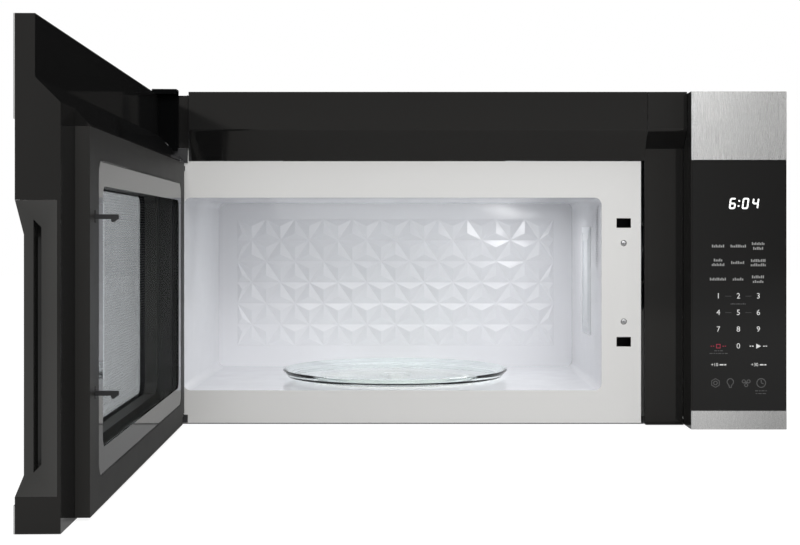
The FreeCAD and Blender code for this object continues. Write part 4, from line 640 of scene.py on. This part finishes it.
# grease filters: a folded rim, a mesh of flat hexagons and a dark tray behind it
filters = {"rim": 0.008, "thick": 0.0016, "step": 0.0052, "open": 0.80, "flatten": 0.62, "corner": 0.006,
           "meshUp": 0.0007, "backUp": 0.0024}
flipped = Matrix(((1, 0, 0, 0), (0, 0, 1, 0), (0, 1, 0, 0), (0, 0, 0, 1)))  # changes Y and Z over
for side in ("left", "right"):
    nodeName = "grease_filter_" + side
    (x0, y0, z0), (x1, y1, z1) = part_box(nodeName)
    outer = roundedOutline(x0, y0, x1, y1, filters["corner"])
    inner = roundedOutline(x0 + filters["rim"], y0 + filters["rim"], x1 - filters["rim"],
                           y1 - filters["rim"], filters["corner"] / 2)
    frameMesh = frameBetween(nodeName + "_rim", outer, inner, z0, z1)
    backMesh = plate(nodeName + "_tray", outer, z0 + filters["backUp"], z1)
    for mesh in (frameMesh, backMesh):
        mesh.transform(flipped)
        mesh.flip_normals()
    wide, deep = x1 - x0 - 2 * filters["rim"], y1 - y0 - 2 * filters["rim"]
    radius = filters["step"] / math.sqrt(3)
    rowStep = filters["step"] * rowShare * filters["flatten"]
    columns, rows = int(wide / filters["step"]), int(deep / rowStep) + 1
    meshLace = grownMesh(nodeName + "_mesh", ringGrid, {
        "Wide": (columns - 1) * filters["step"], "Tall": (rows - 1) * rowStep,
        "Columns": columns, "Rows": rows,
        "Ring radius": radius * (1 + filters["open"]) / 2, "Ring width": radius * (1 - filters["open"]),
        "Flatten": filters["flatten"], "Material": materials["filterMesh"]})
    middle = ((x0 + x1) / 2 - filters["step"] / 4, (y0 + y1) / 2, z0 + filters["meshUp"])
    meshLace.transform(Matrix.Translation(middle) @ Matrix.Rotation(math.radians(180), 4, "X"))
    pieces = [linkObject(nodeName + "_rim", frameMesh, "filterMesh"),
              linkObject(nodeName + "_tray", backMesh, "coreSteel"),
              linkObject(nodeName + "_mesh", meshLace)]
    for piece in pieces:
        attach(piece, "housing")
        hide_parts(nodeName)
print("grease filters dressed")


# small round holes pressed into the enamel: air inlet on the right wall, lamp above; each hole is drawn as a
# grey disc of painted shade
holes = {"radius": 0.0011, "step": 0.0036, "airX": 0.16175, "airY": (-0.322, -0.296),
         "airZ": (-0.010, 0.064),
         "lampY": (-0.204, -0.160), "lampX": (0.084, 0.136), "lampZ": 0.07745, "fill": 0.98}


def holeField(name, wide, tall, place):
    columns = int(wide / holes["step"])
    rowStep = holes["step"] * rowShare
    rows = int(tall / rowStep) + 1
    field = grownMesh(name, ringGrid, {
        "Wide": (columns - 1) * holes["step"], "Tall": (rows - 1) * rowStep,
        "Columns": columns, "Rows": rows,
        "Ring radius": holes["radius"] / 2, "Ring width": holes["radius"] * holes["fill"], "Flatten": 1.0,
        "Material": materials["holeShade"]})
    field.transform(place)
    made = linkObject(name, field)
    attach(made, "housing")


facingLeft = Matrix(((0, 0, -1, 0), (1, 0, 0, 0), (0, 1, 0, 0), (0, 0, 0, 1)))
airMiddle = (holes["airX"], sum(holes["airY"]) / 2, sum(holes["airZ"]) / 2)
holeField("air_inlet_holes", holes["airY"][1] - holes["airY"][0], holes["airZ"][1] - holes["airZ"][0],
          Matrix.Translation(airMiddle) @ facingLeft)
lampMiddle = (sum(holes["lampX"]) / 2, sum(holes["lampY"]) / 2, holes["lampZ"])
holeField("lamp_holes", holes["lampX"][1] - holes["lampX"][0], holes["lampY"][1] - holes["lampY"][0],
          Matrix.Translation(lampMiddle) @ Matrix.Rotation(math.radians(180), 4, "X"))

# small trim at the front frame, and a black strip of painted shade in the gap beside the upper hinge
smallTrim = {  # name: low corner, high corner, finish, slot
    "frame_foot": ((-0.3784, -0.3500, -0.2050), (0.2140, -0.3460, -0.2039), "mattBlack", "black_plastic"),
    "column_foot": ((0.2154, -0.3600, -0.2050), (0.2622, -0.3490, -0.2038), "glossBlack", "gloss_black"),
    "hinge_pad": ((-0.3664, -0.35045, 0.1108), (-0.3586, -0.3500, 0.1171), "rubber", "black_plastic"),
    # a black strip of painted shade that fills the gap beside the upper hinge
    "hinge_gap_shade": ((-0.3539, -0.3505, 0.1230), (-0.3501, -0.3500, 0.2050), "mattBlack", "black_plastic"),
    "hinge_pad_low": ((-0.3623, -0.35045, -0.1990), (-0.3598, -0.3500, -0.1928), "rubber", "black_plastic"),
}
for name, (low, high, finishName, slotName) in smallTrim.items():
    corners = [(low[0], low[2]), (high[0], low[2]), (high[0], high[2]), (low[0], high[2])]
    block = linkObject(name, plate(name, corners, low[1], high[1]), finishName)
    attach(block, "housing")
print("cavity openings and trim made")

# printed marks: outlines are in millimetres across the panel, a hair in front of the glass
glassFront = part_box("touch_glass")[0][1]
printing = {"lift": 0.00004, "merge": 0.000005, "capShare": 1.42, "curveSteps": 3}


def printOn(name, outlines, finishName):
    shape = bmesh.new()
    level = glassFront - printing["lift"]
    for outline in outlines:
        corners = [shape.verts.new((x * 0.001, level, z * 0.001)) for x, z in outline]
        shape.faces.new(corners)
    bmesh.ops.remove_doubles(shape, verts=shape.verts, dist=printing["merge"])
    shape.normal_update()
    for face in shape.faces:
        if face.normal.y > 0:
            face.normal_flip()
    made = linkObject(name, meshFrom(name, shape, mended=False), finishName)
    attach(made, "housing")


def textOutlines(text, height, centre):
    curve = bpy.data.curves.new("lettering", "FONT")
    curve.body = text
    curve.align_x = "CENTER"
    curve.align_y = "CENTER"
    curve.size = height * printing["capShare"]
    curve.resolution_u = printing["curveSteps"]
    holder = bpy.data.objects.new("lettering", curve)
    flat = bpy.data.meshes.new_from_object(holder)
    points = [(vertex.co.x + centre[0], vertex.co.y + centre[1]) for vertex in flat.vertices]
    outlines = [[points[v] for v in face.vertices] for face in flat.polygons]
    bpy.data.objects.remove(holder)
    bpy.data.curves.remove(curve)
    bpy.data.meshes.remove(flat)
    return outlines


# digits, key names and times
keypad = {"columns": (296.8, 321.1, 345.4), "digitRows": (-43.4, -63.4, -83.7), "zeroRow": -104.1,
          "digitTall": 6.6, "wordTall": 1.5, "blockTall": 2.3, "blockStep": 2.1, "blockShare": 0.62,
          "riserShare": 1.45, "dashGap": 1.1, "addRow": -126.7, "addTall": 4.0, "addLeft": 4.6,
          "addRight": 5.6, "addWide": 8.0}
digits = []
for row, height in enumerate(keypad["digitRows"]):
    for column, across in enumerate(keypad["columns"]):
        digits += textOutlines(str(row * 3 + column + 1), keypad["digitTall"], (across, height))
digits += textOutlines("0", keypad["digitTall"], (keypad["columns"][1], keypad["zeroRow"]))
printOn("keypad_digits", digits, "printWhite")


# plain dashes of given lengths, in one row
def dashes(centre, wide, tall, pattern):
    gap = keypad["dashGap"]
    unit = (wide - gap * (len(pattern) - 1)) / sum(pattern)
    across = centre[0] - wide / 2
    low, high = centre[1] - tall / 2, centre[1] + tall / 2
    marks = []
    for share in pattern:
        end = across + share * unit
        marks.append([(across, low), (end, low), (end, high), (across, high)])
        across += share * unit + gap
    return marks


# a key's name is only hinted at: a row of upright blocks, some of them taller
def blocks(centre, wide, tall, pattern):
    count = round(wide / keypad["blockStep"])
    step = wide / count
    marks = []
    for k in range(count):
        left = centre[0] - wide / 2 + k * step
        right = left + step * keypad["blockShare"]
        rise = keypad["riserShare"] if pattern[k % len(pattern)] > 1 else 1.0
        low = centre[1] - tall / 2
        marks.append([(left, low), (right, low), (right, low + tall * rise), (left, low + tall * rise)])
    return marks


keyNames = [  # across, height, width, and which blocks stand taller
    (296.8, 16.9, 15.5, (2, 1, 2, 1)), (321.3, 16.9, 19.3, (2, 1, 1, 2, 2)),
    (345.5, 19.9, 15.8, (2, 1, 2, 1)), (345.5, 14.1, 12.7, (2, 1, 2)),
    (296.8, -0.1, 10.9, (2, 1, 1)), (296.8, -5.6, 15.8, (1, 2, 1, 2)), (320.6, -3.1, 16.4, (2, 1, 1, 2)),
    (345.6, -0.7, 18.2, (2, 1, 2, 2)), (345.6, -5.9, 18.8, (1, 1, 2, 2)),
    (296.6, -23.2, 20.0, (2, 1, 2, 1, 2)), (321.1, -23.2, 13.4, (1, 2, 1)),
    (345.3, -20.5, 15.2, (2, 1, 2)), (345.5, -26.1, 13.4, (1, 2, 1))]
names = []
for across, height, wide, pattern in keyNames:
    names += blocks((across, height), wide, keypad["blockTall"], pattern)
faint = [stroke((x - 3.6, z), (x + 3.6, z), 0.35) for x in (308.9, 333.2) for z in (-43.4, -63.4)]
faint += blocks((321.2, -52.9), 19.0, 1.0, (1, 2, 1))
printOn("keypad_faint", faint, "printGrey")
printOn("keypad_names", names, "printDim")
added = []
for text, column in (("+10", 0), ("+30", 2)):
    across = keypad["columns"][column]
    added += textOutlines(text, keypad["addTall"], (across - keypad["addLeft"], keypad["addRow"]))
    added += dashes((across + keypad["addRight"], keypad["addRow"]), keypad["addWide"],
                    keypad["wordTall"], (2, 1))
printOn("keypad_times", added, "printWhite")

# a red square stands for stop and a white triangle for start, each between two pairs of dashes
signs = {"square": 3.1, "squareLine": 1.1, "stopAside": 7.2, "stopWide": 4.2, "stopTall": 1.0,
         "tipLeft": 2.6, "tipRight": 3.2, "tipHalf": 3.0, "startAside": 8.2, "startWide": 4.8,
         "startTall": 1.2}
left, right = keypad["columns"][0], keypad["columns"][2]
row = keypad["zeroRow"]
stopMark = ring((left, row), signs["square"], signs["squareLine"], 4, 45.0)
startMark = [[(right - signs["tipLeft"], row + signs["tipHalf"]), (right + signs["tipRight"], row),
              (right - signs["tipLeft"], row - signs["tipHalf"])]]
for side in (-1, 1):
    stopMark += dashes((left + side * signs["stopAside"], row), signs["stopWide"], signs["stopTall"], (1, 1))
    startMark += dashes((right + side * signs["startAside"], row), signs["startWide"], signs["startTall"],
                        (1, 1))
printOn("stop_mark", stopMark, "printRed")
printOn("start_mark", startMark, "printWhite")

# four grey pictures along the bottom: vent ring, lamp, fan and clock
icons = {"row": -148.8, "line": 1.0, "vent": 293.3, "ventRing": 5.3, "ventHole": 2.2, "lamp": 311.3,
         "bulbUp": 1.4, "bulb": 3.9, "bulbFrom": -55.0, "bulbSweep": 290.0, "fan": 330.6, "fanUp": 0.6,
         "fanReach": 3.2, "blade": 1.9, "hub": 0.6, "clock": 348.8, "clockRing": 5.3}
row, line = icons["row"], icons["line"]
lampAt, fanAt, clockAt = icons["lamp"], icons["fan"], icons["clock"]
marks = ring((icons["vent"], row), icons["ventRing"], line, 6, 90.0)
marks += ring((icons["vent"], row), icons["ventHole"], line, 12)
marks += ring((lampAt, row + icons["bulbUp"]), icons["bulb"], line, 20, icons["bulbFrom"],
              icons["bulbSweep"])
for side in (-1, 1):
    marks.append(stroke((lampAt + side * 2.2, row - 1.8), (lampAt + side * 1.2, row - 4.4), line))
marks.append(stroke((lampAt - 1.2, row - 5.4), (lampAt + 1.2, row - 5.4), line))
for angle in (25.0, 155.0, 270.0):
    far = (fanAt + icons["fanReach"] * math.cos(math.radians(angle)),
           row + icons["fanUp"] + icons["fanReach"] * math.sin(math.radians(angle)))
    marks += ring(far, icons["blade"], line, 12)
marks += ring((fanAt, row + icons["fanUp"]), icons["hub"], line, 8)
marks += ring((clockAt, row), icons["clockRing"], line, 28)
marks.append(stroke((clockAt, row), (clockAt, row + 3.4), line))
marks.append(stroke((clockAt, row), (clockAt + 2.4, row - 0.8), line))
faintDashes = (  # across, height, width, pattern
    (348.6, -158.3, 14.5, (2, 1, 2, 1)), (348.4, -161.6, 12.5, (1, 2, 2)), (297.0, -109.7, 10.5, (2, 1, 2)),
    (297.2, -112.9, 22.0, (2, 1, 1, 2, 1, 2)))
for across, height, wide, pattern in faintDashes:
    marks += dashes((across, height), wide, 0.8, pattern)
printOn("keypad_pictures", marks, "printGrey")

# the clock display: seven slanted bars for each numeral
clock = {"left": 309.4, "low": 62.4, "tall": 13.4, "wide": 7.6, "bar": 1.7, "slant": 0.14,
         "trim": 0.55, "colonAcross": 11.4, "colonUp": (3.6, 9.8), "colonHalf": 0.9}
segmentEnds = {"a": ((0, 2), (1, 2)), "b": ((1, 2), (1, 1)), "c": ((1, 1), (1, 0)), "d": ((0, 0), (1, 0)),
               "e": ((0, 0), (0, 1)), "f": ((0, 1), (0, 2)), "g": ((0, 1), (1, 1))}
# the bars of each numeral that are lit, and how far the numeral stands from the left
lit = (("acdefg", 0.0), ("abcdef", 15.6), ("bcfg", 27.8))


def leaning(x, z):
    return (clock["left"] + x + clock["slant"] * z, clock["low"] + z)


bars = []
for segments, across in lit:
    for name in segments:
        ends = []
        for u, v in segmentEnds[name]:
            x = across + clock["bar"] / 2 + u * (clock["wide"] - clock["bar"])
            z = clock["bar"] / 2 + v * (clock["tall"] - clock["bar"]) / 2
            ends.append(Vector(leaning(x, z)))
        inward = (ends[1] - ends[0]).normalized() * clock["bar"] * clock["trim"]
        bars.append(stroke(ends[0] + inward, ends[1] - inward, clock["bar"]))
half = clock["colonHalf"]
for up in clock["colonUp"]:
    x, z = leaning(clock["colonAcross"], up)
    bars.append([(x - half, z - half), (x + half, z - half), (x + half, z + half), (x - half, z + half)])
printOn("clock_numerals", bars, "segmentGlow")
print("touch panel printed")

# studio
studio = {"cameraAt": (-0.0770, -2.066, 0.0295), "lens": 61.81, "shiftX": -0.0130, "shiftY": -0.0455,
          "floorSize": 12.0, "floorDrop": 0.001, "floorGlow": 0.9, "floorMirrored": 0.2, "floorColour": 0.18,
          "worldLight": 0.86, "mirrorFront": 0.42, "mirrorBack": 0.004, "mirrorRight": 0.12,
          "fadeFrom": 0.17, "fadeTo": 0.27, "turnWidth": 0.35}
lamps = {
    "key": {"at": (0.2, -2.7, 1.4), "to": (0.1, -0.3, 0.0), "size": (1.5, 1.0), "watts": 27.0},
    "fill": {"at": (1.6, -2.2, 0.5), "to": (0.1, -0.3, 0.0), "size": (0.8, 1.6), "watts": 10.0},
    "top": {"at": (0.0, -0.9, 1.9), "to": (0.0, -0.4, 0.0), "size": (1.6, 0.9), "watts": 10.0},
    "cavityLamp": {"at": (0.075, -0.19, 0.070), "to": (0.03, -0.17, -0.16), "size": (0.09, 0.07),
                   "watts": 0.17},
    "cavityGlow": {"at": (-0.10, -0.25, 0.070), "to": (-0.10, -0.04, 0.01), "size": (0.40, 0.22),
                   "watts": 0.31},
}

cameraData = bpy.data.cameras.new("photoCamera")
cameraData.lens = studio["lens"]
cameraData.sensor_width = 36.0
cameraData.sensor_fit = "HORIZONTAL"
cameraData.shift_x = studio["shiftX"]
cameraData.shift_y = studio["shiftY"]
camera = bpy.data.objects.new("photoCamera", cameraData)
camera.location = studio["cameraAt"]
camera.rotation_euler = (math.radians(90), 0, 0)
bpy.context.collection.objects.link(camera)
bpy.context.scene.camera = camera

for lampName, lamp in lamps.items():
    lampData = bpy.data.lights.new(lampName, "AREA")
    lampData.shape = "RECTANGLE"
    lampData.size, lampData.size_y = lamp["size"]
    lampData.energy = lamp["watts"]
    lampObject = bpy.data.objects.new(lampName, lampData)
    lampObject.location = lamp["at"]
    aim = Vector(lamp["to"]) - Vector(lamp["at"])
    lampObject.rotation_euler = aim.to_track_quat("-Z", "Y").to_euler()
    bpy.context.collection.objects.link(lampObject)


# what the camera sees straight, in a mirror or through glass
def seenRay(tree):
    path = tree.nodes.new("ShaderNodeLightPath")
    total = mathNode(tree, "ADD", path.outputs["Is Camera Ray"], path.outputs["Is Glossy Ray"])
    return path, mathNode(tree, "ADD", total, path.outputs["Is Transmission Ray"], clamp=True)


# a mirrored ray, and not one that went through glass
def bounced(tree, path):
    inside = mathNode(tree, "SUBTRACT", 1.0, path.outputs["Is Transmission Ray"])
    return mathNode(tree, "MULTIPLY", path.outputs["Is Glossy Ray"], inside)


world = bpy.data.worlds.new("studio")
world.use_nodes = True
bpy.context.scene.world = world
worldTree = world.node_tree
path, seen = seenRay(worldTree)
background = worldTree.nodes["Background"]
background.inputs["Color"].default_value = rgba(1, 1, 1)
# what mirrors show: a lit studio in front of the appliance, black flags behind it
direction = worldTree.nodes.new("ShaderNodeTexCoord")
along = worldTree.nodes.new("ShaderNodeSeparateXYZ")
worldTree.links.new(direction.outputs["Generated"], along.inputs["Vector"])
front = rampNode(worldTree, along.outputs["X"], studio["fadeFrom"], studio["fadeTo"],
                 studio["mirrorFront"], studio["mirrorRight"])
mirrored = rampNode(worldTree, along.outputs["Y"], -studio["turnWidth"], studio["turnWidth"], front,
                    studio["mirrorBack"])
shown = worldTree.nodes.new("ShaderNodeMix")
shown.data_type = "FLOAT"
worldTree.links.new(bounced(worldTree, path), shown.inputs["Factor"])
shown.inputs["A"].default_value = 1.0
worldTree.links.new(mirrored, shown.inputs["B"])
strength = worldTree.nodes.new("ShaderNodeMix")
strength.data_type = "FLOAT"
worldTree.links.new(seen, strength.inputs["Factor"])
strength.inputs["A"].default_value = studio["worldLight"]
worldTree.links.new(shown.outputs["Result"], strength.inputs["B"])
worldTree.links.new(strength.outputs["Result"], background.inputs["Strength"])

floorMesh = bpy.data.meshes.new("floor")
half = studio["floorSize"] / 2
floorLevel = cadBox[0][2] - studio["floorDrop"]
floorMesh.from_pydata([(-half, -half, floorLevel), (half, -half, floorLevel),
                       (half, half, floorLevel), (-half, half, floorLevel)], [], [(0, 1, 2, 3)])
floor = bpy.data.objects.new("floor", floorMesh)
bpy.context.collection.objects.link(floor)
floorPaint = bpy.data.materials.new("floorPaint")
floorPaint.use_nodes = True
floorTree = floorPaint.node_tree
floorTree.nodes.remove(floorTree.nodes["Principled BSDF"])
diffuse = floorTree.nodes.new("ShaderNodeBsdfDiffuse")
diffuse.inputs["Color"].default_value = rgba(*[studio["floorColour"]] * 3)
glow = floorTree.nodes.new("ShaderNodeEmission")
path, seen = seenRay(floorTree)
floorSeen = rampNode(floorTree, bounced(floorTree, path), 0.0, 1.0, studio["floorGlow"],
                     studio["floorMirrored"])
floorTree.links.new(mathNode(floorTree, "MULTIPLY", seen, floorSeen), glow.inputs["Strength"])
joined = floorTree.nodes.new("ShaderNodeAddShader")
floorTree.links.new(diffuse.outputs[0], joined.inputs[0])
floorTree.links.new(glow.outputs[0], joined.inputs[1])
floorTree.links.new(joined.outputs[0], floorTree.nodes["Material Output"].inputs["Surface"])
floorMesh.materials.append(floorPaint)
bpy.context.scene.view_settings.view_transform = "Standard"
print("studio ready")
